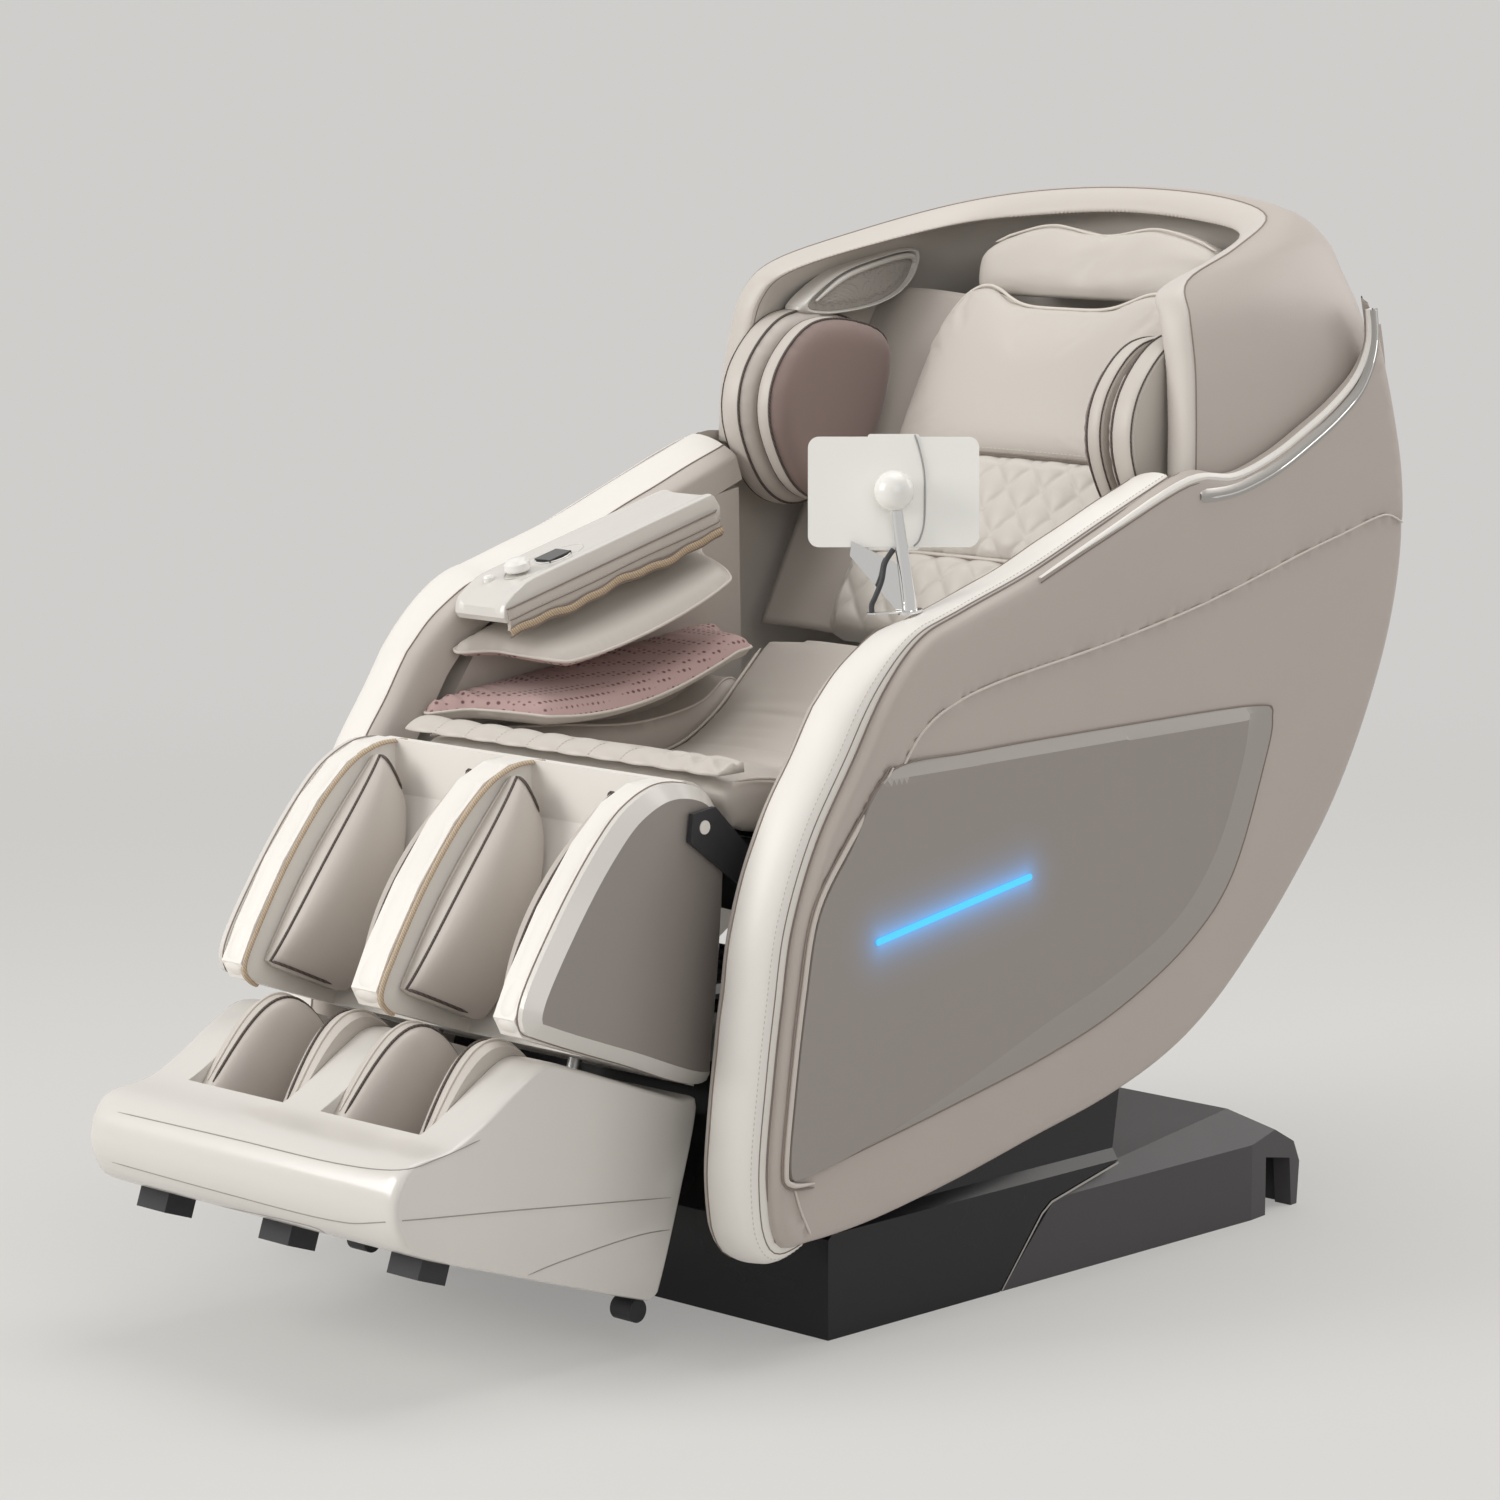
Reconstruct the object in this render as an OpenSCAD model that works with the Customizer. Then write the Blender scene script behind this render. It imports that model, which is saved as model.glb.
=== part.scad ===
// Reclining massage chair with hood, armrests, calf and foot unit, and tablet stand.
// Front faces -Y, the sitter's left is +X, the floor is z = 0. Millimetres.

/* [Side shells and armrests] */
// Inner face of the side shells, from the middle of the chair
shell_in = 383; // [378:1:392]
// Thickness of the side shells
shell_t = 15; // [10:1:18]
// Thickness of the inset side panels
panel_t = 5; // [3:0.5:8]
// Inner face of the armrests, from the middle of the chair
arm_in = 306; // [300:1:312]
// How far the padded front band stands out from the shell's edge
band_bulge = 32; // [24:1:40]
// Length of the light bars
led_l = 257; // [180:1:280]
// Height of the light bars
led_h = 7; // [4:1:10]
// Width of the silver trim on the shells
trim_w = 16; // [10:1:20]
// Width of the armrest console
console_w = 86; // [70:1:88]
// Length of the armrest console
console_l = 372; // [340:1:380]
// Thickness of the armrest console
console_t = 40; // [30:1:44]
// Diameter of the console's knob
knob_d = 32; // [24:1:38]
// Travel of the console's button
button_travel = 2.5; // [1:0.5:3]

/* [Seat and back] */
// Half width of the seat cushion
seat_half = 248; // [225:1:252]
// Half width of the back pads
back_half = 196; // [170:1:204]
// Thickness of the back pads
back_pad_t = 60; // [45:1:64]
// Thickness of the hood's padded walls
hood_wall = 40; // [30:1:44]
// Diameter of the kneading rollers
roller_d = 50; // [40:1:56]
// Spacing of the kneading rollers
roller_gap = 120; // [100:2:150]
// Diameter of the recline pivot pins
pivot_d = 20; // [14:1:24]
// Diameter of the frame tubes
tube_d = 26; // [20:1:30]

/* [Calf and foot unit] */
// Half width of the calf unit between its side covers
calf_half = 236; // [228:1:240]
// Thickness of the calf unit's side covers
calf_cover_t = 26; // [18:1:27]
// Inner wall of each calf well, from the middle
well_in = 20; // [14:1:26]
// Outer wall of each calf well, from the middle
well_out = 204; // [196:1:210]
// Depth of the calf wells
well_depth = 140; // [110:1:150]
// Half width of the foot shell
foot_half = 250; // [244:1:262]
// Diameter of the rods that the foot unit slides on
rod_d = 16; // [12:1:20]
// Diameter of the foot rollers
foot_roller_d = 34; // [26:1:40]

/* [Base] */
// Half width of the base
base_half = 351; // [330:1:360]
// Wall of the base covers
cover_t = 4; // [3:0.5:6]
// Diameter of the transport wheels
wheel_d = 60; // [50:1:66]
// Width of the transport wheels
wheel_w = 24; // [18:1:30]
// Diameter of the levelling feet
foot_d = 44; // [30:1:50]
// Height of the levelling feet
foot_h = 12; // [8:1:14]

/* [Tablet] */
// Width of the tablet
tablet_w = 186; // [160:1:200]
// Height of the tablet
tablet_h = 120; // [100:1:130]
// Thickness of the tablet
tablet_t = 11; // [8:1:14]
// Diameter of the ball on the tablet's back
ball_d = 44; // [34:1:50]
// Diameter of the stand's pole at its foot
pole_d = 17; // [12:1:20]

/* [Hidden] */
$fn = 32;
run_fit = 0.1;        // a bore's diameter over its shaft's
slide_fit = 0.3;      // between a sliding piece and its guide
soft_gap = 0.4;       // round soft pieces

cream = [0.88, 0.86, 0.82];
leather = [0.66, 0.62, 0.58];
taupe = [0.56, 0.53, 0.50];
black = [0.10, 0.10, 0.11];
steel = [0.55, 0.56, 0.58];

// ---------- outlines, as [y, z] seen from the chair's left ----------
function cubic(a, b, c, d, t) = 0.5 * (2 * b + (c - a) * t + (2 * a - 5 * b + 4 * c - d) * t * t
                                       + (3 * b - a - 3 * c + d) * t * t * t);
function smooth_loop(p, n) = let (m = len(p))
    [for (i = [0:m - 1], j = [0:n - 1])
        cubic(p[(i + m - 1) % m], p[i], p[(i + 1) % m], p[(i + 2) % m], j / n)];
function smooth_line(p, n) = let (m = len(p))
    concat([for (i = [0:m - 2], j = [0:n - 1])
        cubic(p[max(i - 1, 0)], p[i], p[i + 1], p[min(i + 2, m - 1)], j / n)], [p[m - 1]]);
function turn_left(v) = [-v[1], v[0]] / norm(v);
function inset_loop(p, d) = let (m = len(p))
    [for (i = [0:m - 1]) p[i] + d * turn_left(p[(i + 1) % m] - p[(i + m - 1) % m])];
function inset_line(p, d) = let (m = len(p))
    [for (i = [0:m - 1]) p[i] + d * turn_left(p[min(i + 1, m - 1)] - p[max(i - 1, 0)])];
function ring_x(p, x) = [for (q = p) [x, q[0], q[1]]];
function flip(p) = [for (i = [len(p) - 1:-1:0]) p[i]];

// Solid skin over a stack of rings with the same number of points
module loft(rings) {
    n = len(rings[0]);
    m = len(rings);
    polyhedron(
        points = [for (r = rings) each r],
        faces = concat(
            [[for (i = [0:n - 1]) i]],
            [[for (i = [n - 1:-1:0]) (m - 1) * n + i]],
            [for (k = [0:m - 2], i = [0:n - 1]) let (a = k * n + i, b = k * n + (i + 1) % n)
                each [[a, a + n, b], [b, a + n, b + n]]]));
}
// Plate with an outline in Y-Z, from x = x0 to x = x1
module side_plate(p, x0, x1) {
    translate([x0, 0, 0]) rotate([90, 0, 90]) linear_extrude(x1 - x0) polygon(p);
}
module at_both_sides() { children(); mirror([1, 0, 0]) children(); }

// Front edge of the armrest, from its lower tip up to the hood
arm_front = [[-344, 137], [-357, 210], [-346, 313], [-334, 390], [-318, 474], [-281, 560],
             [-226, 640], [-176, 712], [-120, 762], [-50, 786], [60, 818], [180, 862], [318, 912]];
shell_top = [[400, 906], [470, 924], [531, 950], [590, 979], [638, 1012], [661, 1050], [652, 1102]];
shell_rear = [[680, 1040], [708, 960], [727, 880], [729, 790], [705, 690], [660, 590], [604, 501],
              [542, 429], [472, 360], [386, 290], [300, 243], [190, 208], [60, 182], [-70, 156],
              [-200, 136], [-300, 130]];
shell_loop = smooth_loop(flip(concat(arm_front, shell_top, shell_rear)), 2);
panel_loop = smooth_loop(flip([[-448, 214], [-440, 300], [-424, 400], [-404, 486], [-357, 550],
              [-292, 626], [-150, 634], [100, 636], [340, 634], [370, 616], [355, 560], [300, 440],
              [222, 370], [100, 312], [-26, 276], [-180, 246], [-330, 220], [-420, 206]]), 2);
panel_shift = 108;    // the panel's outline above is taken from the middle of the shell
panel_out = shell_in + shell_t + panel_t;

module side_shell() {
    edge = 8;
    loft([ring_x(shell_loop, shell_in), ring_x(shell_loop, shell_in + shell_t * 0.45),
          ring_x(inset_loop(shell_loop, edge * 0.3), shell_in + shell_t * 0.85),
          ring_x(inset_loop(shell_loop, edge), shell_in + shell_t)]);
}
module side_shell_left() { color(leather) side_shell(); }
module side_shell_right() { color(leather) mirror([1, 0, 0]) side_shell(); }

module side_panel() {
    p = [for (q = panel_loop) [q[0] + panel_shift, q[1]]];
    x0 = shell_in + shell_t;
    loft([ring_x(p, x0), ring_x(inset_loop(p, 1.5), x0 + panel_t * 0.5),
          ring_x(inset_loop(p, 9), x0 + panel_t)]);
}
module side_panel_left() { color(taupe) side_panel(); }
module side_panel_right() { color(taupe) mirror([1, 0, 0]) side_panel(); }

led_at = [-83, 465];
led_rise = 9;
module light_bars() {
    color("deepskyblue") at_both_sides()
        translate([panel_out, led_at[0], led_at[1]]) rotate([led_rise, 0, 0]) rotate([90, 0, 90])
            linear_extrude(1.5) rounded_square(led_l, led_h, led_h / 2 - 0.2);
}

module shell_trims() {
    line = smooth_line([[336, 893], [400, 896], [470, 914], [531, 940], [588, 969], [630, 1000],
                        [650, 1040], [646, 1085]], 3);
    strip = concat(line, flip(inset_line(line, -trim_w)));
    color("silver") at_both_sides() difference() {
        side_plate(strip, shell_in + shell_t, shell_in + shell_t + 4);
        // rounded nose at the front end
        side_plate([[330, 870], [330, 890], [344, 876]], shell_in + shell_t - 1, shell_in + shell_t + 5);
    }
}

// ---------- armrests ----------
// Cross section of the padded band: round in front, rolled down inwards along the top
band_end = [300, 905];   // short of the shoulder pads
band_line = smooth_line(concat([[-300, 134]], [for (i = [0:len(arm_front) - 2]) arm_front[i]], [band_end]), 2);
band_drop = 22;
function band_ring(i) = let (
    m = len(band_line),
    p = band_line[i],
    n = turn_left(band_line[min(i + 1, m - 1)] - band_line[max(i - 1, 0)]),
    top = max(0, min(1, (i - 15) / 4)),
    out = band_bulge * min(1, 0.45 + i / 5) * (1 - 0.68 * top),
    x0 = shell_in - soft_gap, w = shell_in - arm_in - 2 * soft_gap,
    across = [for (k = [0:8]) let (a = 180 * k / 8, u = (1 - cos(a)) / 2)
        let (q = p + (out * pow(sin(a), 0.85) - band_drop * top * u * u) * n) [x0 - w * u, q[0], q[1]]])
    concat(across, [let (q = p - 27 * n - band_drop * top * n) [x0 - w, q[0], q[1]],
                    let (q = p - 27 * n) [x0, q[0], q[1]]]);
module arm_band() { loft([for (i = [0:len(band_line) - 1]) flip(band_ring(i))]); }
module arm_band_left() { color(cream) arm_band(); }
module arm_band_right() { color(cream) mirror([1, 0, 0]) arm_band(); }

arm_rear = 316;
core_front = inset_line(smooth_line(arm_front, 2), -27 - band_drop - soft_gap);
core_loop = concat(
    [for (q = core_front) if (q[1] > 205 && q[0] < arm_rear - 12) q],
    [[arm_rear - 6, 850], [arm_rear, 560], [250, 430], [60, 330], [-180, 262], [-290, 205]]);
module arm_core() { side_plate(core_loop, arm_in + soft_gap, shell_in); }
module arm_core_left() { color(cream) arm_core(); }
module arm_core_right() { color(cream) mirror([1, 0, 0]) arm_core(); }

// The console and the forearm bags lean back with the seat
arm_lean = 14.5;
console_at = [-165, 727];   // lower front corner
module on_arm(along, up) {
    translate([0, console_at[0], console_at[1]]) rotate([arm_lean, 0, 0]) translate([0, along, up])
        children();
}
module console_body() {
    difference() {
        on_arm(0, 0) translate([arm_in - console_w, 0, 0]) rotate([90, 0, 90])
            linear_extrude(console_w - soft_gap)
                polygon([[10, 0], [console_l - 30, 0], [console_l, 12], [console_l - 6, console_t],
                         [60, console_t], [24, console_t - 6], [4, console_t - 18], [0, 8]]);
        children();
    }
}
knob_spot = [72, -262];      // along the console, across the chair
button_spot = [44, -284];
display_spot = [128, -260];
stem_d = 6;
button_d = 13;
module console() {
    color(cream) mirror([1, 0, 0]) console_body() {
        on_arm(knob_spot[0], console_t - 14)
            translate([-knob_spot[1], 0, 0]) cylinder(d = stem_d + run_fit, h = 20);
        on_arm(button_spot[0], console_t - 14)
            translate([-button_spot[1], 0, 0]) cylinder(d = button_d + 2 * slide_fit, h = 30);
        on_arm(display_spot[0], console_t - 3)
            translate([-display_spot[1], 0, 0]) translate([-13, -18, 0]) cube([26, 36, 9]);
    }
}
module control_knob() {
    color("white") on_arm(knob_spot[0], console_t) translate([knob_spot[1], 0, 0]) {
        translate([0, 0, -12]) cylinder(d = stem_d, h = 14);
        translate([0, 0, 1]) rotate_extrude($fn = 48)
            polygon([[0, 0], [knob_d / 2 - 1, 0], [knob_d / 2, 2], [knob_d / 2 - 1, 9],
                     [knob_d / 2 - 5, 13], [0, 15]]);
    }
}
module control_button() {
    color("white") on_arm(button_spot[0], console_t - 14 + button_travel + 0.5)
        translate([button_spot[1], 0, 0]) rotate_extrude($fn = 32)
            polygon([[0, 0], [button_d / 2, 0], [button_d / 2, 11], [button_d / 2 - 1.5, 13], [0, 14]]);
}
module console_display() {
    color(black) on_arm(display_spot[0], console_t - 3) translate([display_spot[1] - 13, -18, 0])
        cube([26, 36, 4]);
}

// Air cushions that hold the forearm from above and below
function pad_ring(x, y0, y1, z0, z1, k) = let (
    s = (y1 - y0) / 2 * (1 - 0.10 * k), h = (z1 - z0) / 2 * (1 - 0.75 * k), n = 16)
    [for (i = [0:n - 1]) let (a = 360 * i / n, c = cos(a), d = sin(a))
        [x, (y0 + y1) / 2 + s * sign(c) * pow(abs(c), 0.6),
            (z0 + z1) / 2 + h * sign(d) * pow(abs(d), 0.8)]];
// Crowned pad: thin at both x faces, full in the middle
module crowned_pad(x0, x1, y0, y1, z0, z1) {
    loft([for (k = [0:4]) let (t = k / 4, e = pow(abs(2 * t - 1), 2.5))
        pad_ring(x0 + (x1 - x0) * t, y0, y1, z0, z1, e)]);
}
lower_lean = 6;
module forearm_bags() {
    inner = arm_in - soft_gap;
    on_arm(0, 0) crowned_pad(arm_in - console_w - 12, inner, 6, console_l - 20, -36, -soft_gap);
    translate([0, -188, 602]) rotate([lower_lean, 0, 0])
        crowned_pad(arm_in - console_w - 16, inner, 0, 388, 0, 42);
}
module forearm_bags_left() { color([0.80, 0.70, 0.68]) forearm_bags(); }
module forearm_bags_right() { color([0.80, 0.70, 0.68]) mirror([1, 0, 0]) forearm_bags(); }

// ---------- seat ----------
hip = [170, 452];       // recline pivot
knee = [-335, 570];     // calf unit's pivot
tilt = [60, 330];       // seat's tilt pivot
seat_top = [[-282, 600], [-262, 616], [-200, 612], [-100, 590], [0, 568], [80, 556], [140, 562],
            [200, 592], [250, 634], [296, 676]];
seat_under = [[322, 650], [270, 590], [216, 530], [150, 494], [80, 486], [-100, 520], [-200, 545],
              [-270, 566]];
seat_loop = concat(smooth_line(seat_top, 2), smooth_line(seat_under, 2));
seat_centre = [40, 560];
function toward(p, c, k) = [for (q = p) c + (q - c) * k];
module seat_cushion() {
    color(leather) loft([for (s = [[-1, 1.6], [-0.94, 0.5], [-0.6, 0], [0.6, 0], [0.94, 0.5], [1, 1.6]])
        [for (q = flip(seat_loop)) let (c = seat_centre, e = s[1])
            [s[0] * seat_half, q[0] + (e > 0.4 ? (q[0] < c[0] ? 3 : -3) * e : 0),
                               q[1] + (q[1] > seat_under_line(q[0]) ? -9 : 4) * e]]]);
}
// Height that parts the seat cushion's upper face from its lower one
function seat_under_line(y) = y > 150 ? 520 + (y - 150) * 0.86 : 545;

// Scalloped quilted flap that hangs over the top of the calf unit
module seat_flap() {
    front = -300;
    half = seat_half + 4;
    steps = 16;
    ring = function (x) let (d = 5 * abs(sin(x * 360 / 126)),
        p = [[-258, 617], [-280, 618.6], [front + 5 - d, 620 - d * 0.2], [front + 5 - d, 629],
             [-280, 632], [-258, 631]]) ring_x(p, x);
    color(cream) loft([for (k = [0:steps]) flip(ring(-half + 2 * half * k / steps))]);
}

// Side cushions beside the hips, leaning against the arm cores
hip_crown = 14;         // how far the cushion's face stands in from its edge
module hip_cushions() {
    x0 = seat_half + 2 * soft_gap;
    x1 = arm_in - soft_gap;
    p = smooth_loop(flip([[-226, 560], [-180, 600], [-60, 596], [80, 590], [200, 640], [268, 706],
                          [296, 690], [270, 600], [180, 510], [60, 482], [-120, 512], [-208, 538]]), 2);
    color(leather) at_both_sides() {
        side_plate(inset_loop(p, 5), x0, x1);
        side_plate(p, x0 + hip_crown, x1 - 3);
    }
}

cheek_x = 176;          // inner face of the seat frame's cheeks
cheek_t = 8;
knee_d = pivot_d - 5;
module bar_x(p, d, x0, x1) { translate([x0, p[0], p[1]]) rotate([0, 90, 0]) cylinder(d = d, h = x1 - x0); }
module seat_frame() {
    color(steel) {
        difference() {
            at_both_sides() union() {
                side_plate([[-262, 470], [-262, 540], [-230, 540], [-60, 505], [60, 470], [150, 484],
                            [196, 478], [200, 430], [150, 400], [90, 305], [30, 305], [-40, 400]],
                           cheek_x, cheek_x + cheek_t);
                // arms that carry the calf unit's pivot beside it
                side_plate([[-262, 488], [-262, 536], [-318, 590], [-352, 586], [-356, 556]],
                           calf_half + calf_cover_t + 1.5, calf_half + calf_cover_t + 8);
                translate([cheek_x + cheek_t, -262, 500]) cube([calf_half + calf_cover_t + 8 - cheek_x - cheek_t, 14, 34]);
                // wings that reach the arm cores
                translate([cheek_x + cheek_t, -200, 420]) cube([arm_in + soft_gap - cheek_x - cheek_t, 40, 30]);
                translate([cheek_x + cheek_t, 100, 410]) cube([arm_in + soft_gap - cheek_x - cheek_t, 40, 30]);
            }
            bar_x(hip, pivot_d + run_fit, -220, 220);
            bar_x(tilt, pivot_d + run_fit, -220, 220);
            bar_x(knee, knee_d + run_fit, -300, 300);
        }
        bar_x([-160, 480], tube_d, -cheek_x, cheek_x);
        bar_x([90, 445], tube_d, -cheek_x, cheek_x);
        // pan that the cushion rests on
        side_plate([[-250, 545], [-190, 530], [-100, 505], [60, 474], [60, 470], [-100, 500], [-250, 540]],
                   -cheek_x, cheek_x);
    }
}

// ---------- sliding carriage ----------
rail_z = 262;
rail_w = 14;            // slide rails under the seat
rail_t = 12;
module slide_carriage() {
    color(steel) {
        difference() {
            at_both_sides() {
                side_plate([[-60, rail_z + 21], [-60, rail_z + 40], [20, rail_z + 44], [40, 356],
                            [80, 356], [100, rail_z + 44], [180, rail_z + 40], [180, rail_z + 21]],
                           cheek_x - 12, cheek_x - 2);
                for (y = [-60, 140]) translate([cheek_x - 30, y, rail_z + 1]) difference() {
                    cube([34, 40, 20]);
                    translate([10 - slide_fit, -1, -1]) cube([rail_w + 2 * slide_fit, 42, rail_t + slide_fit]);
                }
            }
            bar_x(tilt, pivot_d, -220, 220);
        }
        bar_x(tilt, pivot_d, -cheek_x - cheek_t - 4, cheek_x + cheek_t + 4);
        bar_x([150, rail_z + 31], 16, -cheek_x + 12, cheek_x - 12);
        bar_x([-40, rail_z + 31], 16, -cheek_x + 12, cheek_x - 12);
    }
}
module slide_rails() {
    color("silver") at_both_sides() translate([cheek_x - 20, -130, rail_z]) cube([rail_w, 380, rail_t]);
}

// ---------- base ----------
rail_h = 30;            // height of the floor rails
front_loop = [[-227, 0], [-227, 112], [-196, 140], [-150, 196], [-132, 240], [-118, 250], [262, 250],
              [274, 240], [276, 205], [262, 117], [143, 91], [126, 80], [58, 2], [56, 0]];
module front_cover() {
    color(black) difference() {
        intersection() {
            side_plate(front_loop, -base_half, base_half);
            // narrower towards the neck
            rotate([90, 0, 0]) translate([0, 0, -400]) linear_extrude(800)
                polygon([[-base_half, 0], [base_half, 0], [base_half, 118], [base_half - 10, 130],
                         [base_half - 10, 236], [base_half - 24, 250], [24 - base_half, 250],
                         [10 - base_half, 236], [10 - base_half, 130], [-base_half, 118]]);
        }
        // hollow inside, open underneath and towards the rear housing
        difference() {
            side_plate([[-227 + cover_t, -5], [-227 + cover_t, 110], [-190, 142], [-146, 198], [-128, 238],
                        [-116, 250 - cover_t], [262, 250 - cover_t], [272, 238], [272, 205],
                        [260, 121], [275, 100], [160, 60], [90, -5]],
                       -base_half + cover_t, base_half - cover_t);
            // side walls stay full height at the narrow neck
            at_both_sides() translate([base_half - 10 - cover_t, -400, 118 - cover_t]) cube([60, 900, 200]);
        }
        // slots that the rails' feet pass through
        at_both_sides() translate([cheek_x - 20.5, -131, 245]) cube([15, 382, 10]);
    }
}

rear_side = [[60, 0], [146, 87], [272, 113], [501, 134], [609, 79], [623, 52], [618, 0]];
module rear_cover() {
    color([0.20, 0.19, 0.21]) difference() {
        union() {
            intersection() {
                side_plate(rear_side, -base_half, base_half);
                linear_extrude(300) polygon([[-base_half, 0], [base_half, 0], [base_half, 513],
                    [base_half - 16, 640], [16 - base_half, 640], [-base_half, 513]]);
                // long facets that lean in over the sides
                rotate([90, 0, 0]) translate([0, 0, -700]) linear_extrude(800)
                    polygon([[-base_half, 0], [base_half, 0], [base_half, 92], [base_half - 34, 140],
                             [34 - base_half, 140], [-base_half, 92]]);
            }
        }
        side_plate([[30, -5], [120, 110], [262, 130], [262, 107], [500, 130], [605, 76], [618, 50], [613, -5]],
                   -base_half + 36, base_half - 36);
        at_both_sides() side_plate([[66, -1], [148, 60], [500, 80], [600, 60], [605, -1]],
                                   base_half - 37, base_half - cover_t);
        // seat of the power inlet and the switch in the rear wall
        translate([-250, 600, 22]) cube([28, 40, 20]);
        translate([-204 - slide_fit, 600, 22]) cube([12 + 2 * slide_fit, 40, 20]);
    }
}
module slot_trims() {
    line = [[58, 1], [127, 79], [144, 90], [262, 116]];
    low = [[60.5, 1], [128.5, 77], [145, 87.5], [262.5, 113.4]];
    color("silver") at_both_sides() side_plate(concat(line, flip(low)), base_half - 12, base_half + 1);
}
module base_frame() {
    floor_z = foot_h;
    color(steel) {
        at_both_sides() {
            difference() {
                translate([cheek_x - 36, -214, floor_z]) cube([44, 800, rail_h]);
                translate([cheek_x - 33, -215, floor_z + 3]) cube([38, 802, rail_h - 6]);
            }
            // uprights under the rails
            for (y = [-108, 40, 210]) translate([cheek_x - 26, y, floor_z + rail_h])
                cube([26, 30, 245 - floor_z - rail_h]);
            translate([cheek_x - 20, -130, 245]) cube([rail_w, 380, rail_z - 245]);
            translate([cheek_x + 8, 470, floor_z + 2]) cube([70, 26, 26]);
        }
        for (y = [-190, 250, 540]) translate([36 - cheek_x, y, floor_z + 2]) cube([2 * cheek_x - 72, 26, 26]);
        // brackets of the transport wheels
        at_both_sides() difference() {
            union() {
                for (x = [cheek_x + 12, cheek_x + 22 + wheel_w]) translate([x, 496, 20]) cube([6, 60, 30]);
                translate([cheek_x + 12, 494, 22]) cube([wheel_w + 16, 4, 24]);
            }
            bar_x(wheel_at, 8, 0, 300);
        }
        at_both_sides() bar_x(wheel_at, 8, cheek_x + 10, cheek_x + 30 + wheel_w);
    }
}
wheel_at = [536, 33];
wheel_bore = 4 + run_fit / 2;
module transport_wheels() {
    color(black) at_both_sides() translate([cheek_x + 20, wheel_at[0], wheel_at[1]]) rotate([0, 90, 0])
        rotate_extrude($fn = 48)
            polygon([[wheel_bore, 0], [wheel_d / 2 - 3, 0], [wheel_d / 2, 3], [wheel_d / 2, wheel_w - 3],
                     [wheel_d / 2 - 3, wheel_w], [wheel_bore, wheel_w]]);
}
module levelling_feet() {
    color(black) at_both_sides() for (y = [-180, 440])
        translate([cheek_x - 14, y, 0]) cylinder(d1 = foot_d, d2 = foot_d - 8, h = foot_h);
}
// Plate across the floor rails, from y0 over a length l
tray_half = cheek_x - 30;
tray_t = 4;
module tray(y0, l) { translate([-tray_half, y0, foot_h + rail_h]) cube([2 * tray_half, l, tray_t]); }
module control_box() {
    top = foot_h + rail_h + tray_t;
    color([0.35, 0.37, 0.4]) {
        tray(284, 162);
        translate([-110, 290, top]) cube([220, 150, 50]);
        for (k = [0:6]) translate([-80 + 24 * k, 300, top + 50]) cube([10, 120, 3]);
    }
}
module air_pump() {
    top = foot_h + rail_h + tray_t;
    color([0.3, 0.3, 0.32]) {
        tray(-80, 140);
        translate([-14, -74, top]) cube([28, 128, 30]);
        for (s = [-1, 1]) {
            translate([s * 50, -10, top + 48]) rotate([90, 0, 0]) cylinder(d = 84, h = 140, center = true);
            translate([s * 50 - 30, -70, top]) cube([60, 120, 18]);
        }
    }
}
module power_inlet() {
    color(black) translate([-250, 604, 22]) difference() {
        union() {
            translate([0.2, 0, 0.2]) cube([27.6, 18, 19.6]);
            translate([-2, 3, -2]) cube([32, 5, 24]);
        }
        translate([3, 6, 3]) cube([22, 20, 14]);
    }
    color("gold") for (x = [-7, 0, 7]) translate([-236 + x - 1, 609, 30]) cube([2, 9, 4]);
}
module power_switch() {
    color("red") translate([-198, 615, 32]) rotate([0, 90, 0]) rotate([0, 0, 90])
        linear_extrude(12, center = true) polygon([[3.4, -8], [3.4, 8], [0, 9], [-6, 4], [-6, -4]]);
}

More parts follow.
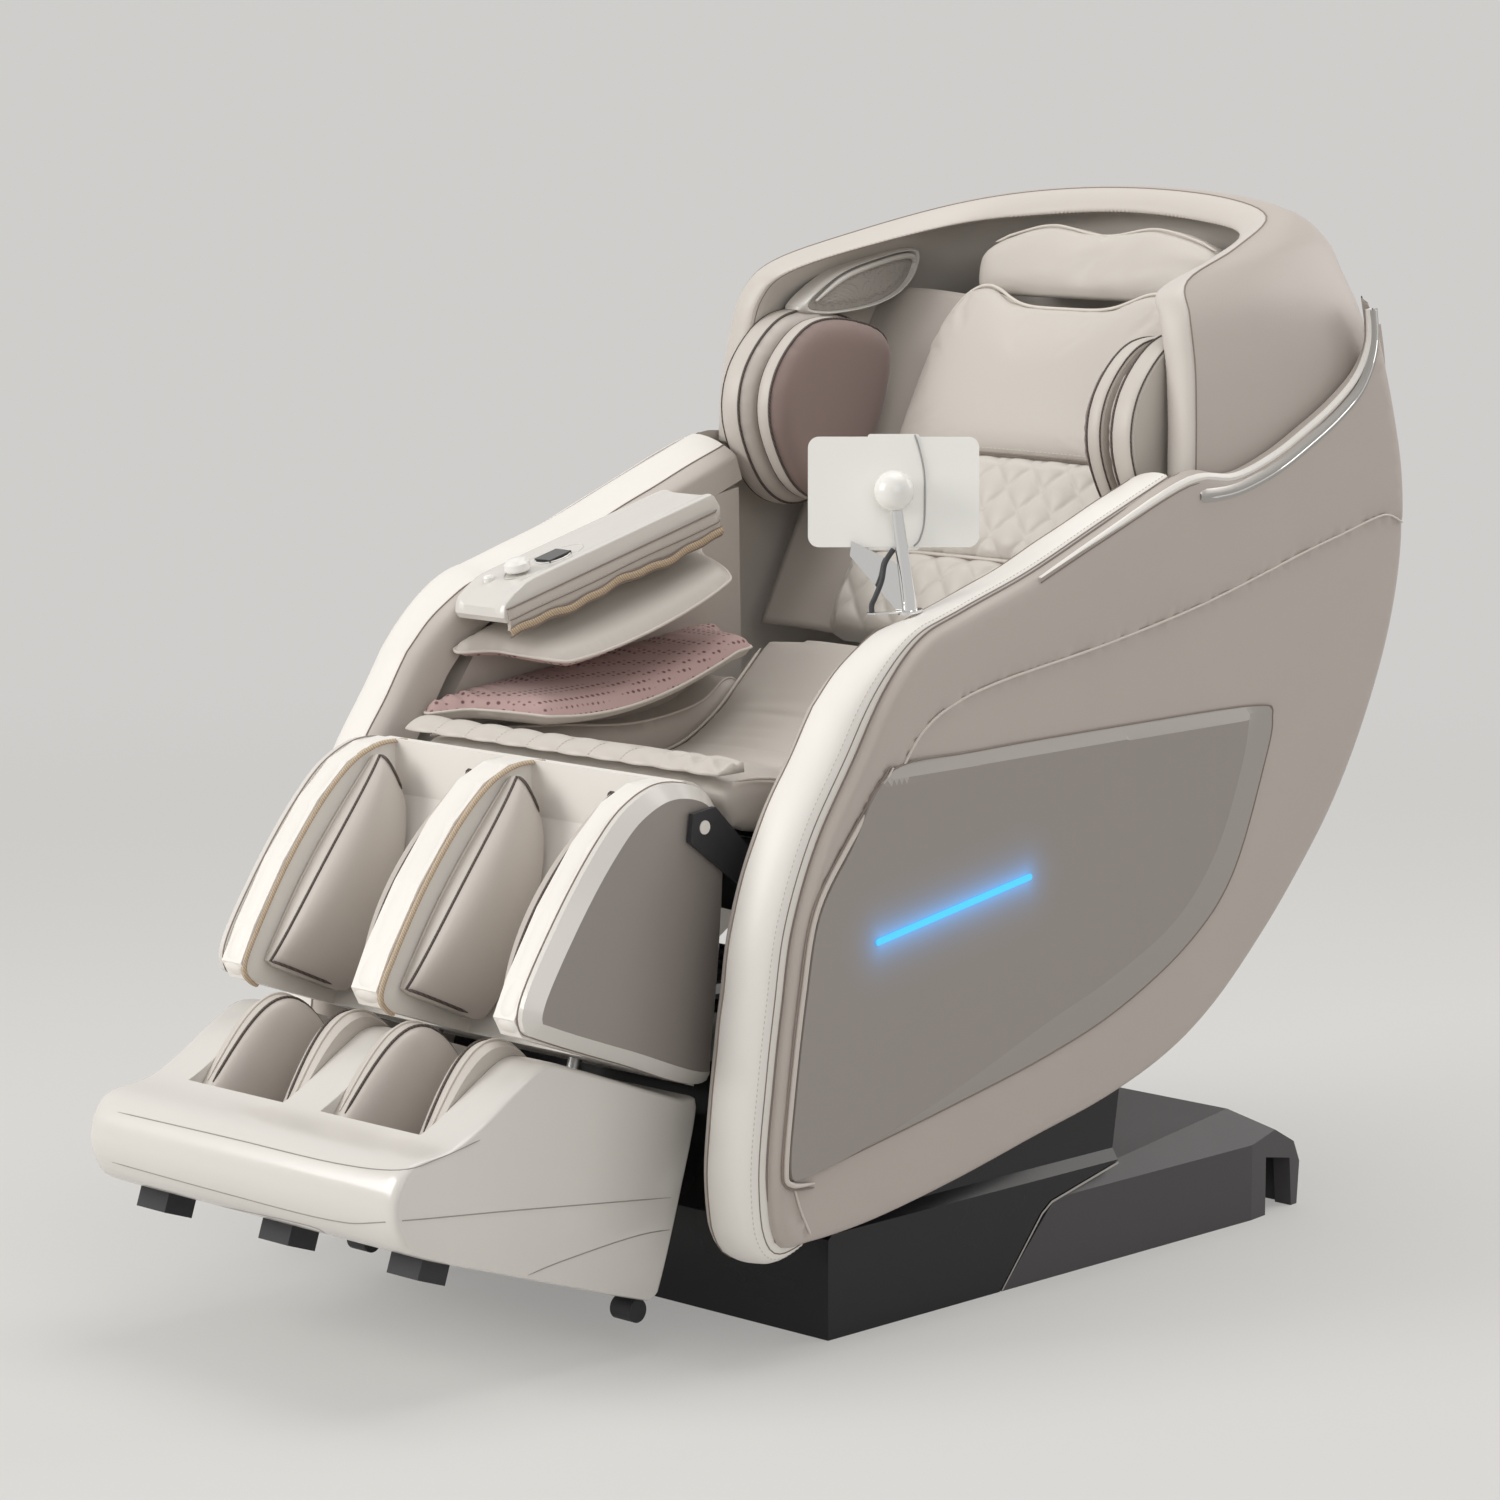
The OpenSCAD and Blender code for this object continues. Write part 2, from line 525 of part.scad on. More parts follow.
// ---------- back: frame, pads, hood ----------
back_at = [385, 780];    // a point on the face of the back pads
back_lean = 28.3;        // from the vertical
module on_back() { translate([0, back_at[0], back_at[1]]) rotate([-back_lean, 0, 0]) children(); }
rail_x = 112;
rail_y = back_pad_t + 16;
hip_on_back = [-215 * cos(back_lean) - (hip[1] - back_at[1]) * sin(back_lean),
               -215 * sin(back_lean) + (hip[1] - back_at[1]) * cos(back_lean)];
arm_x = cheek_x - 10;    // outer face of the back frame's hip arms
hood_bar_x = 335.8;        // end of the bars that carry the hood
module back_frame() {
    web = 5;
    color(steel) {
        // C-section rails for the massage carriage, open towards each other
        on_back() at_both_sides() translate([rail_x, rail_y, -250]) linear_extrude(590)
            polygon([[0, 0], [20, 0], [20, 32], [0, 32], [0, 28], [20 - web, 28], [20 - web, 4], [0, 4]]);
        on_back() at_both_sides() {
            for (z = [-246, 316]) translate([rail_x + 17, rail_y + 2, z])
                cube([arm_x - rail_x - 19, 28, 22]);
            // bars that carry the hood's side walls
            translate([rail_x + 17, rail_y + 6, 291]) cube([hood_bar_x - rail_x - 17, 20, 18]);
            for (z = [-240, 300]) translate([rail_x + 2, rail_y + 30, z - 15]) cube([16, 30, 30]);
        }
        // strips that the pads rest on
        on_back() at_both_sides() translate([rail_x + 16, back_pad_t + slide_fit, pad_splits[0] + 20])
            cube([34, rail_y + 8 - back_pad_t, pad_splits[3] - pad_splits[0] - 44]);
        on_back() for (z = [-240, 300]) translate([-rail_x - 10, rail_y + 46, z]) rotate([0, 90, 0])
            cylinder(d = tube_d, h = 2 * rail_x + 20);
        on_back() at_both_sides() translate([arm_x - 8, 0, 0]) rotate([90, 0, 90]) linear_extrude(8)
            polygon([[rail_y - 2, -216], [rail_y + 34, -216], [rail_y + 34, -258],
                     [hip_on_back[0] + 18, hip_on_back[1] - 18], [hip_on_back[0] - 8, hip_on_back[1] - 22],
                     [hip_on_back[0] - 20, hip_on_back[1] + 6]]);
        bar_x(hip, pivot_d, -cheek_x - cheek_t - 4, cheek_x + cheek_t + 4);
        // stays that carry the rear cover
        at_both_sides() {
            translate([rail_x + 18, 452, 690]) cube([14, 259, 20]);
            translate([rail_x + 18, 606, 1000]) cube([14, 122, 20]);
        }
    }
}
// Pad on the back, crowned towards the sitter, from z0 to z1 up the back
module back_slab(half, z0, z1, crown) {
    on_back() loft([for (s = [[-1, 1], [-0.9, 0.35], [-0.5, 0.06], [0.5, 0.06], [0.9, 0.35], [1, 1]])
        let (e = s[1], t = back_pad_t, r = 12)
        ring_x([[t, z1 - 6 * e], [t * 0.5 * e + r, z1 - 3 * e], [6 + crown + 22 * e, z1 - 5 * e],
                [crown * 0.4 + 22 * e, z1 - 16], [26 * e, (2 * z1 + z0) / 3], [26 * e, (z1 + 2 * z0) / 3],
                [crown * 0.4 + 22 * e, z0 + 16], [6 + crown + 22 * e, z0 + 5 * e],
                [t * 0.5 * e + r, z0 + 3 * e], [t, z0 + 6 * e]], s[0] * half)]);
}
pad_splits = [-104, 4, 140, 352];
module lower_back_pad() { color(cream) back_slab(back_half + 6, pad_splits[0], pad_splits[1] - 1, 3); }
module lumbar_pad() { color(cream) back_slab(back_half + 6, pad_splits[1], pad_splits[2] - 1, 5); }
module back_pad() { color(leather) back_slab(back_half, pad_splits[2], pad_splits[3], 10); }

// Half of the hood's front rim, from the lower tip to the top middle: [x, y, z]
hood_gap = 3;
hood_half = shell_in - hood_gap;
hood_rim = [[1, 352, 902], [0.995, 354, 965], [0.975, 360, 1030], [0.935, 368, 1086],
            [0.86, 396, 1134], [0.74, 440, 1163], [0.56, 480, 1190], [0.32, 505, 1209], [0, 515, 1216]];
hood_mid = [[1, 500, 908], [0.995, 504, 975], [0.985, 508, 1045], [0.965, 516, 1106],
            [0.90, 530, 1158], [0.76, 548, 1186], [0.56, 566, 1203], [0.32, 580, 1213], [0, 585, 1218]];
hood_back = [[1, 640, 930], [0.995, 648, 985], [0.985, 652, 1040], [0.955, 655, 1090],
             [0.88, 662, 1134], [0.74, 672, 1158], [0.56, 684, 1172], [0.32, 694, 1180], [0, 698, 1184]];
hood_end = [[0.99, 694, 940], [0.97, 706, 984], [0.95, 708, 1022], [0.92, 708, 1054],
            [0.83, 712, 1078], [0.70, 718, 1092], [0.53, 724, 1100], [0.30, 730, 1104], [0, 732, 1106]];
function whole_arch(a) = concat(a, [for (i = [len(a) - 2:-1:0]) [-a[i][0], a[i][1], a[i][2]]]);
function hood_row(a, w) = [for (q = whole_arch(a)) let (
    f = 1 - w / hood_half)
    [q[0] * hood_half * f, q[1], q[2] - w * pow(1 - abs(q[0]), 0.5)]];
hood_rows = [hood_rim, hood_mid, hood_back, hood_end];
module hood() {
    outer = [for (r = hood_rows) hood_row(r, 0)];
    inner = [for (r = hood_rows) hood_row(r, hood_wall)];
    n = len(outer[0]);
    color(leather) loft([for (i = [0:n - 1]) concat([for (r = outer) r[i]], [for (k = [3:-1:0]) inner[k][i]])]);
}
cover_line = [[741, 1062], [752, 1010], [765, 900], [760, 800], [735, 700], [690, 610], [630, 530], [580, 480]];
module back_cover() {
    outer = smooth_line(cover_line, 2);
    inner = inset_line(outer, -8);
    color(taupe) loft([for (s = [[-1, 31], [-0.92, 11], [-0.6, 0], [0.6, 0], [0.92, 11], [1, 31]])
        ring_x([for (q = concat(outer, flip(inner))) [q[0] - s[1], q[1]]], s[0] * (hood_half - 10))]);
}

module shoulder_pad(x0, x1, k) {
    p = smooth_loop(flip([[300, 930], [312, 1000], [372, 1056], [450, 1062], [530, 1030], [520, 940],
                          [470, 850], [400, 822], [340, 852]]), 2);
    c = [420, 945];
    loft([for (s = [[0, 1.6], [0.2, 0.5], [0.5, 0.2], [0.6, 0.6], [1, 3]])
        ring_x(toward(p, c, k - 0.06 * s[1]), x0 + (x1 - x0) * s[0])]);
}
bag_split = 276;
module shoulder_bags() {
    shoulder_pad(bag_split + soft_gap, hood_half - hood_wall - 11.5, 1);
    shoulder_pad(bag_split - 42, bag_split - soft_gap, 0.93);
}
module shoulder_bags_left() { color(leather) shoulder_bags(); }
module shoulder_bags_right() { color([0.56, 0.49, 0.48]) mirror([1, 0, 0]) shoulder_bags(); }

module speaker() {
    p = smooth_loop(flip([[432, 1072], [480, 1098], [556, 1110], [604, 1100], [614, 1086], [590, 1070],
                          [540, 1063], [466, 1064]]), 3);
    loft([ring_x(toward(p, [530, 1088], 0.93), 288), ring_x(p, 292), ring_x(p, 315)]);
}
module speaker_left() { color(cream) speaker(); }
module speaker_right() { color(cream) mirror([1, 0, 0]) speaker(); }

module head_pillow() {
    color(leather) loft([for (s = [[-1, 1], [-0.85, 0.4], [-0.4, 0], [0.4, 0], [0.85, 0.4], [1, 1]])
        let (e = s[1])
        ring_x(flip([[590 + 4 * e, 1090], [578 + 10 * e, 1110], [584 + 8 * e, 1140 - 6 * e], [604, 1161 - 12 * e],
                [628, 1164.7 - 14 * e], [646 - 4 * e, 1150 - 10 * e], [640 - 8 * e, 1120], [622 - 6 * e, 1096]]),
               s[0] * 190)]);
}

// Massage carriage: runs in the rails, carries a gearbox with two pairs of kneading rollers
carriage_z = 60;
arm_pivot = [rail_y + 16, 0];
shaft_d = 12;
roller_y = back_pad_t + 6 + roller_d / 2;    // clear behind the pads
module massage_carriage() {
    color([0.3, 0.32, 0.34]) on_back() translate([0, 0, carriage_z]) {
        difference() {
            union() {
                translate([8 - rail_x, rail_y + 30, -24]) cube([2 * rail_x - 16, 10, 48]);
                at_both_sides() translate([84, rail_y + 30, -50]) cube([rail_x - 92, 10, 100]);
                at_both_sides() translate([70, rail_y + 2, -22]) cube([10, 30, 44]);
                translate([-36, rail_y + 40, -40]) cube([72, 44, 80]);
                translate([0, rail_y + 62, -40]) cylinder(d = 36, h = 120);
            }
            translate([-200, arm_pivot[0], 0]) rotate([0, 90, 0]) cylinder(d = shaft_d + run_fit, h = 400);
        }
        // guide rollers on axles in the rails
        at_both_sides() for (z = [-40, 40]) {
            translate([rail_x - 12, rail_y + 16, z]) rotate([0, 90, 0]) cylinder(d = 8, h = 10);
            translate([rail_x - 2, rail_y + 16, z]) rotate([0, 90, 0]) cylinder(d = 24 - 2 * slide_fit, h = 14);
            translate([rail_x - 14, rail_y + 12, z - 6]) cube([6, 20, 12]);
        }
    }
}
module kneading_arms() {
    color([0.85, 0.45, 0.15]) on_back() translate([0, 0, carriage_z]) {
        translate([-86, arm_pivot[0], 0]) rotate([0, 90, 0]) cylinder(d = shaft_d, h = 172);
        at_both_sides() translate([roller_gap / 2, 0, 0]) {
            difference() {
                translate([-5, 0, 0]) rotate([90, 0, 90]) linear_extrude(10)
                    polygon([[arm_pivot[0] + 11, -8], [arm_pivot[0] + 11, 8], [rail_y + 18, 60],
                             [rail_y + 4, 62], [arm_pivot[0] - 10, 20], [arm_pivot[0] - 10, -20],
                             [rail_y + 4, -62], [rail_y + 18, -60]]);
                translate([-10, arm_pivot[0], 0]) rotate([0, 90, 0]) cylinder(d = shaft_d, h = 20);
            }
        }
    }
    color([0.95, 0.75, 0.2]) on_back() translate([0, 0, carriage_z]) at_both_sides()
        for (z = [-52, 52]) translate([roller_gap / 2 - 18, roller_y, z])
            rotate([0, 90, 0]) rotate_extrude($fn = 40)
                polygon([[0, 0], [roller_d / 2 - 5, 0], [roller_d / 2, 7], [roller_d / 2, 10],
                         [roller_d / 2 - 4, 13 - soft_gap], [0, 13 - soft_gap]]);
}

// ---------- calf unit ----------
calf_rear = [[-283, 505], [-283, 480], [-318, 280]];
calf_front = [[-545, 362], [-572, 372], [-583, 392], [-563, 432], [-519, 500], [-468, 562], [-424, 600],
              [-386, 616], [-349, 618]];
nose_r = 46;
calf_loop = concat(calf_rear, calf_front,
                   [for (a = [100:-16:4]) knee + nose_r * [cos(a), sin(a)]]);
slide_dir = 20;          // the foot unit slides this many degrees forward of straight down
rod_at = [-376, 300];    // a point on the foot rods' line
module along_leg() { translate([0, rod_at[0], rod_at[1]]) rotate([-slide_dir, 0, 0]) children(); }
rod_x = 112;
rod_seat = 44;           // how far the rods reach down into the foot shell
module calf_shell() {
    color(cream) difference() {
        side_plate(calf_loop, -calf_half, calf_half);
        at_both_sides() translate([well_in, 0, 0])
            side_plate(calf_well(), 0, well_out - well_in);
        bar_x(knee, knee_d + run_fit, -300, 300);
        at_both_sides() translate([rod_x, 0, 0]) along_leg() translate([0, 0, -40])
            cylinder(d = rod_d + 2 * slide_fit, h = 200);
    }
    color(steel) bar_x(knee, knee_d, -calf_half - calf_cover_t - 9, calf_half + calf_cover_t + 9);
}
// The wells are open in front, above and below
function calf_well() = [[-700, 200], [-470 + (140 - well_depth) * -0.8, 200],
                        [-448 - (140 - well_depth) * 0.8, 330], [-404 - (140 - well_depth) * 0.8, 450],
                        [-352 - (140 - well_depth) * 0.8, 556], [-352 - (140 - well_depth) * 0.8, 700], [-700, 700]];
module calf_cover() {
    p = smooth_loop(flip([[-300, 330], [-318, 284], [-440, 326], [-552, 368], [-578, 384], [-572, 420],
                          [-519, 500], [-468, 562], [-424, 600], [-370, 618], [-312, 604], [-286, 560],
                          [-284, 480]]), 2);
    difference() {
        loft([ring_x(p, calf_half), ring_x(p, calf_half + calf_cover_t * 0.55),
              ring_x(inset_loop(p, 5), calf_half + calf_cover_t * 0.85),
              ring_x(inset_loop(p, 14), calf_half + calf_cover_t)]);
        bar_x(knee, knee_d + run_fit, 0, 300);
    }
}
module calf_cover_left() { color(cream) calf_cover(); }
module calf_cover_right() { color(cream) mirror([1, 0, 0]) calf_cover(); }

// Pads on both walls of a calf well, full in the middle and drawn in at top and bottom
module calf_pad(x0, bulge) {
    n = 8;
    rows = [for (k = [0:n]) let (t = k / n,
        front = [-556 + 166 * t - 14 * sin(180 * t), 394 + 212 * t],
        rear = [-452 + 88 * t, 346 + 206 * t],
        full = pow(sin(180 * (0.08 + 0.84 * t)), 0.5))
        [for (a = [0:22.5:180]) let (u = (1 - cos(a)) / 2)
            [x0 + bulge * full * pow(sin(a), 0.7), front[0] + (rear[0] - front[0]) * u,
             front[1] + (rear[1] - front[1]) * u]]];
    loft([for (r = rows) bulge > 0 ? r : flip(r)]);
}
module calf_pads() {
    calf_pad(well_in + soft_gap, 62);
    calf_pad(well_out - soft_gap, -62);
}
module calf_pads_left() { color(leather) calf_pads(); }
module calf_pads_right() { color(leather) mirror([1, 0, 0]) calf_pads(); }

// ---------- foot unit ----------
foot_loop = smooth_loop([[-322, 262], [-350, 160], [-380, 70], [-392, 59], [-420, 64], [-617, 129],
    [-730, 168], [-756, 190], [-765, 222], [-756, 252], [-735, 268], [-683, 275], [-640, 294], [-590, 324],
    [-548, 342], [-500, 329], [-400, 292], [-345, 272]], 2);
module foot_shell() {
    x = foot_half;
    color(cream) difference() {
        loft([for (s = [[-1, 0.93], [-0.975, 0.97], [-0.93, 0.99], [-0.85, 1], [0.85, 1], [0.93, 0.99],
                        [0.975, 0.97], [1, 0.93]])
            ring_x(toward(flip(foot_loop), [-560, 190], s[1]), s[0] * x)]);
        at_both_sides() foot_well();
        at_both_sides() translate([foot_roller_x - 3, foot_roller_at[0], foot_roller_at[1]])
            rotate([0, 90, 0]) cylinder(d = foot_roller_d + 6, h = foot_roller_w + 6);
        at_both_sides() bar_x(foot_roller_at, axle_d + run_fit, foot_well_x[0] - 10, foot_well_x[1] + 10);
        at_both_sides() translate([rod_x, 0, 0]) along_leg() translate([0, 0, -rod_seat])
            cylinder(d = rod_d + run_fit, h = 100);
    }
}
foot_well_x = [30, 188];
axle_d = 8;
module foot_well() {
    side_plate([[-676, 400], [-668, 214], [-640, 190], [-470, 150], [-440, 160], [-414, 400]],
               foot_well_x[0], foot_well_x[1]);
}
module foot_rods() {
    color("silver") at_both_sides() {
        translate([rod_x, 0, 0]) along_leg() translate([0, 0, -rod_seat + 0.2]) cylinder(d = rod_d, h = 190);
        bar_x(foot_roller_at, axle_d, foot_well_x[0] - 9, foot_well_x[1] + 9);
    }
}
module foot_pads() {
    for (side = [0, 1]) let (x0 = side == 0 ? foot_well_x[0] + soft_gap : foot_well_x[1] - soft_gap,
                             bulge = side == 0 ? 52 : -52) {
        rows = [for (k = [0:8]) let (t = k / 8, a = 180 * t,
            base = [-660 + 213 * t, 212 - 44 * t],
            rise = 20 + 120 * pow(sin(20 + 142 * t), 1.4) * (1 - 0.1 * t),
            full = 0.35 + 0.65 * sin(180 * (0.1 + 0.8 * t)))
            [for (b = [0:30:180]) let (u = (1 - cos(b)) / 2)
                [x0 + bulge * full * pow(sin(b), 0.7), base[0], base[1] + rise * u]]];
        loft([for (r = rows) bulge > 0 ? flip(r) : r]);
    }
}
module foot_pads_left() { color(leather) foot_pads(); }
module foot_pads_right() { color(leather) mirror([1, 0, 0]) foot_pads(); }
// Rollers under the arches of the feet, on axles across the wells
foot_roller_x = 86;
foot_roller_w = 46;
foot_roller_at = [-560, 178];
module foot_rollers() {
    color([0.3, 0.3, 0.3]) at_both_sides()
        translate([foot_roller_x, foot_roller_at[0], foot_roller_at[1]]) rotate([0, 90, 0])
            rotate_extrude($fn = 40) polygon([[axle_d / 2 + 0.08, 0], [foot_roller_d / 2 - 3, 0], [foot_roller_d / 2, 3],
                [foot_roller_d / 2, foot_roller_w / 2 - 4], [foot_roller_d / 2 - 4, foot_roller_w / 2],
                [foot_roller_d / 2, foot_roller_w / 2 + 4], [foot_roller_d / 2, foot_roller_w - 3],
                [foot_roller_d / 2 - 3, foot_roller_w], [axle_d / 2 + 0.08, foot_roller_w]]);
}
module foot_blocks() {
    color(black) for (x = [-205, 0, 205]) translate([x - 24, -730, 168]) rotate([-19.04, 0, 0])
        translate([0, 24, -23.2]) cube([48, 40, 22]);
    color(black) at_both_sides() translate([foot_half - 50, -398, 44]) rotate([0, 90, 0])
        cylinder(d = 26, h = 30);
}

// ---------- tablet stand ----------
stand_at = [335, -82, 783.4];
ball_at = [325, -98, 917];
view_turn = 44;
tablet_tip = 9;
stand_run = ball_at - stand_at;
neck_d = 12;
tablet_y = ball_d / 2;        // from the ball's middle to the tablet's back
// Upright frame along the pole
module on_stand() {
    translate(stand_at) rotate([0, atan2(stand_run[0], norm([stand_run[1], stand_run[2]])), 0])
        rotate([-atan2(stand_run[1], stand_run[2]), 0, 0]) children();
}
module tablet_stand() {
    color("silver") {
        difference() {
            on_stand() cylinder(d1 = pole_d, d2 = neck_d, h = norm(stand_run) - ball_d * 0.3);
            translate(ball_at) sphere(d = ball_d + 0.6, $fn = 48);
        }
        on_stand() cylinder(d = pole_d + 10, h = 3);
        // foot that holds the lower end of the cable
        translate([cable_end[0], cable_end[1], stand_at[2]]) cylinder(d = cable_d + 5, h = clip_t);
        translate(stand_at) rotate([0, 0, atan2(cable_end[1] - stand_at[1], cable_end[0] - stand_at[0])])
            translate([pole_d / 2 - 2, -2, 0])
                cube([norm([cable_end[0] - stand_at[0], cable_end[1] - stand_at[1]]) - pole_d / 2, 4, clip_t]);
        // polished stay beside the pole
        translate(stand_at) rotate([0, 0, view_turn]) translate([-4, 6, 0]) rotate([90, 0, 0])
            linear_extrude(2.5) polygon([[4, 1], [-10, 1], [-62, 62], [-60, 78], [-4, 50], [2, 20]]);
    }
}
module on_tablet() {
    translate(ball_at) rotate([0, 0, view_turn]) rotate([-tablet_tip, 0, 0]) children();
}
module tablet() {
    color("white") {
        on_tablet() sphere(d = ball_d, $fn = 48);
        on_tablet() rotate([-90, 0, 0]) cylinder(d = 30, h = tablet_y + 1);
        on_tablet() translate([0, tablet_y, 0]) rotate([-90, 0, 0]) {
            linear_extrude(tablet_t) rounded_square(tablet_w, tablet_h, 12);
            translate([0, 0, 1]) linear_extrude(tablet_t - 2) rounded_square(56, tablet_h + 6, 3);
        }
    }
}
module rounded_square(w, h, r) {
    square([w - 2 * r, h], center = true);
    square([w, h - 2 * r], center = true);
    for (x = [-1, 1], y = [-1, 1]) translate([x * (w / 2 - r), y * (h / 2 - r)]) circle(r = r);
}
// Round cord swept along a route
module sweep_cord(p, d, sides) {
    m = len(p);
    ring = function (i) let (t = p[min(i + 1, m - 1)] - p[max(i - 1, 0)], w = t / norm(t),
        u0 = cross(w, [1, 0.3, 0]), u = u0 / norm(u0), v = cross(w, u))
        [for (k = [0:sides - 1]) let (a = 360 * k / sides) p[i] + d / 2 * (cos(a) * u + sin(a) * v)];
    loft([for (i = [0:m - 1]) ring(i)]);
}
cable_d = 6;
clip_t = 2;
cable_end = [314, -121, stand_at[2] + clip_t + soft_gap];
cable_route = [[318.6, -92, 852], [316.5, -103, 838], [320, -112, 820], [317.5, -119, 803],
               cable_end + [0, 0, 8], cable_end];
module tablet_cable() { color(black) sweep_cord(smooth_line(cable_route, 3), cable_d, 8); }
lead_d = 2;
lead_y = tablet_y - lead_d / 2 - 0.3;
lead_route = [for (q = [[23, 62], [28, 46], [33, 22], [34, -4], [33, -34], [28, -52], [22, -59]])
              [q[0], lead_y, q[1]]];
module tablet_lead() { color("gray") on_tablet() sweep_cord(smooth_line(lead_route, 2), lead_d, 8); }

base_frame();
front_cover();
rear_cover();
slot_trims();
slide_rails();
levelling_feet();
transport_wheels();
control_box();
air_pump();
power_inlet();
power_switch();
slide_carriage();
seat_frame();
seat_cushion();
seat_flap();
hip_cushions();
side_shell_left();
side_shell_right();
side_panel_left();
side_panel_right();
light_bars();
shell_trims();
arm_band_left();
arm_band_right();
arm_core_left();
arm_core_right();
forearm_bags_left();
forearm_bags_right();
console();
control_knob();
control_button();
console_display();
back_frame();
lower_back_pad();
lumbar_pad();
back_pad();
hood();
back_cover();
shoulder_bags_left();
shoulder_bags_right();
speaker_left();
speaker_right();
head_pillow();
massage_carriage();
kneading_arms();
calf_shell();
calf_cover_left();
calf_cover_right();
calf_pads_left();
calf_pads_right();
foot_shell();
foot_rods();
foot_pads_left();
foot_pads_right();
foot_rollers();
foot_blocks();
tablet_stand();
tablet();
tablet_cable();
tablet_lead();
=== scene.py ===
# Reclining massage chair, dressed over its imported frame. Helpers and outlines are in millimetres,
# and every mesh is scaled to metres when it is made.
import math
import bpy
import bmesh
import numpy as np
from mathutils import Matrix, Vector
from mathutils.bvhtree import BVHTree
from mathutils.geometry import delaunay_2d_cdt


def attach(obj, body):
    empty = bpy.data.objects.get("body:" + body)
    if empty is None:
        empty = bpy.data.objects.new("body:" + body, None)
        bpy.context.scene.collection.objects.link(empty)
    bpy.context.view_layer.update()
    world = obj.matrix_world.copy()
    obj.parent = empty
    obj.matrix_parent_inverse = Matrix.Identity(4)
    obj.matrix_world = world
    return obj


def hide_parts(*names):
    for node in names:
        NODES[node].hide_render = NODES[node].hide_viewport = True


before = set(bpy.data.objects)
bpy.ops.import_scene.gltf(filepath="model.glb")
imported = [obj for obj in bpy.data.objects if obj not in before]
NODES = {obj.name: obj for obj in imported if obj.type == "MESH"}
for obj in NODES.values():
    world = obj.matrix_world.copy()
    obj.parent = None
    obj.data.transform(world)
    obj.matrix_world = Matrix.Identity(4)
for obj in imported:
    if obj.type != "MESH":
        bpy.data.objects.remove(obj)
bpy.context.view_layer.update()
MM = 0.001
scene = bpy.context.scene

# ---------------------------------------------------------------- camera, fitted to the photograph
LENS, SENSOR, PHOTO = 116.04, 36, 1500     # mm, mm and pixels
EYE = Vector((3.8382, -3.9515, 1.4279))
RIGHT, UP, AHEAD = map(Vector, ((0.71850, 0.69553, 0), (-0.10482, 0.10829, 0.98858), (-0.68758, 0.71029, -0.15072)))
cam = bpy.data.objects.new("camera", bpy.data.cameras.new("camera"))
scene.collection.objects.link(cam)
cam.data.lens, cam.data.sensor_width, cam.data.clip_end = LENS, SENSOR, 60
cam.matrix_world = Matrix.Translation(EYE) @ Matrix((RIGHT, UP, -AHEAD)).transposed().to_4x4()
scene.camera = cam
scene.view_settings.view_transform = "Standard"


# ---------------------------------------------------------------- curves and meshes
def spline(p, n=6, closed=False):
    """Catmull-Rom curve through the points, n steps between each pair."""
    p = np.asarray(p, float)
    m = len(p)
    out = []
    for i in range(m if closed else m - 1):
        if closed:
            a, b, c, d = p[(i - 1) % m], p[i], p[(i + 1) % m], p[(i + 2) % m]
        else:
            a, b, c, d = p[max(i - 1, 0)], p[i], p[i + 1], p[min(i + 2, m - 1)]
        for t in np.arange(n) / n:
            out.append(0.5 * (2 * b + (c - a) * t + (2 * a - 5 * b + 4 * c - d) * t * t
                              + (3 * b - a - 3 * c + d) * t ** 3))
    if not closed:
        out.append(p[-1])
    return np.array(out)


def lengths(p):
    """How far along a line each of its points is."""
    return np.concatenate([[0], np.cumsum(np.linalg.norm(np.diff(p, axis=0), axis=1))])


def even(p, step, closed=False):
    """The same line with points an even step apart."""
    p = np.asarray(p, float)
    q = np.vstack([p, p[:1]]) if closed else p
    s = lengths(q)
    n = max(int(round(s[-1] / step)), 2)
    t = np.linspace(0, s[-1], n + 1)
    out = np.stack([np.interp(t, s, q[:, k]) for k in range(q.shape[1])], 1)
    return out[:-1] if closed else out


def unit(v):
    return v / np.maximum(np.linalg.norm(v, axis=1, keepdims=True), 1e-9)


def tangents(p, closed=False):
    return unit(np.roll(p, -1, 0) - np.roll(p, 1, 0) if closed else np.gradient(p, axis=0))


def side_of(p, closed=False):
    """Unit vector to the left of a flat line at each of its points."""
    t = tangents(p, closed)
    return np.stack([-t[:, 1], t[:, 0]], 1)


def to_line(q, line, closed=False):
    """Distance of each flat point to a line, how far along it (0 to 1), and on which side it is."""
    a = np.asarray(line, float)
    b = np.roll(a, -1, 0) if closed else a[1:]
    a = a if closed else a[:-1]
    d = b - a
    ap = q[:, None] - a[None]
    t = np.clip((ap * d).sum(2) / np.maximum((d * d).sum(1), 1e-9), 0, 1)
    off = ap - t[..., None] * d
    dist = np.linalg.norm(off, axis=2)
    k = dist.argmin(1)
    r = np.arange(len(q))
    sign = np.sign(d[k, 0] * off[r, k, 1] - d[k, 1] * off[r, k, 0])
    return dist[r, k], (k + t[r, k]) / len(a), sign


def dome(t):
    """Quarter round: 0 at the edge, 1 from t = 1 on."""
    return np.sqrt(1 - (1 - np.clip(t, 0, 1)) ** 2)
def outline(points, step, n=6):
    """Closed curve through points that are listed clockwise, its own points an even step apart."""
    return even(spline(np.array(points, float)[::-1], n, True), step, True)


def closed(loop):
    return np.vstack([loop, loop[:1]])


def yz(p, x):
    """Flat [y, z] points stood up at x."""
    p = np.asarray(p, float)
    return np.column_stack([np.broadcast_to(x, len(p)), p])


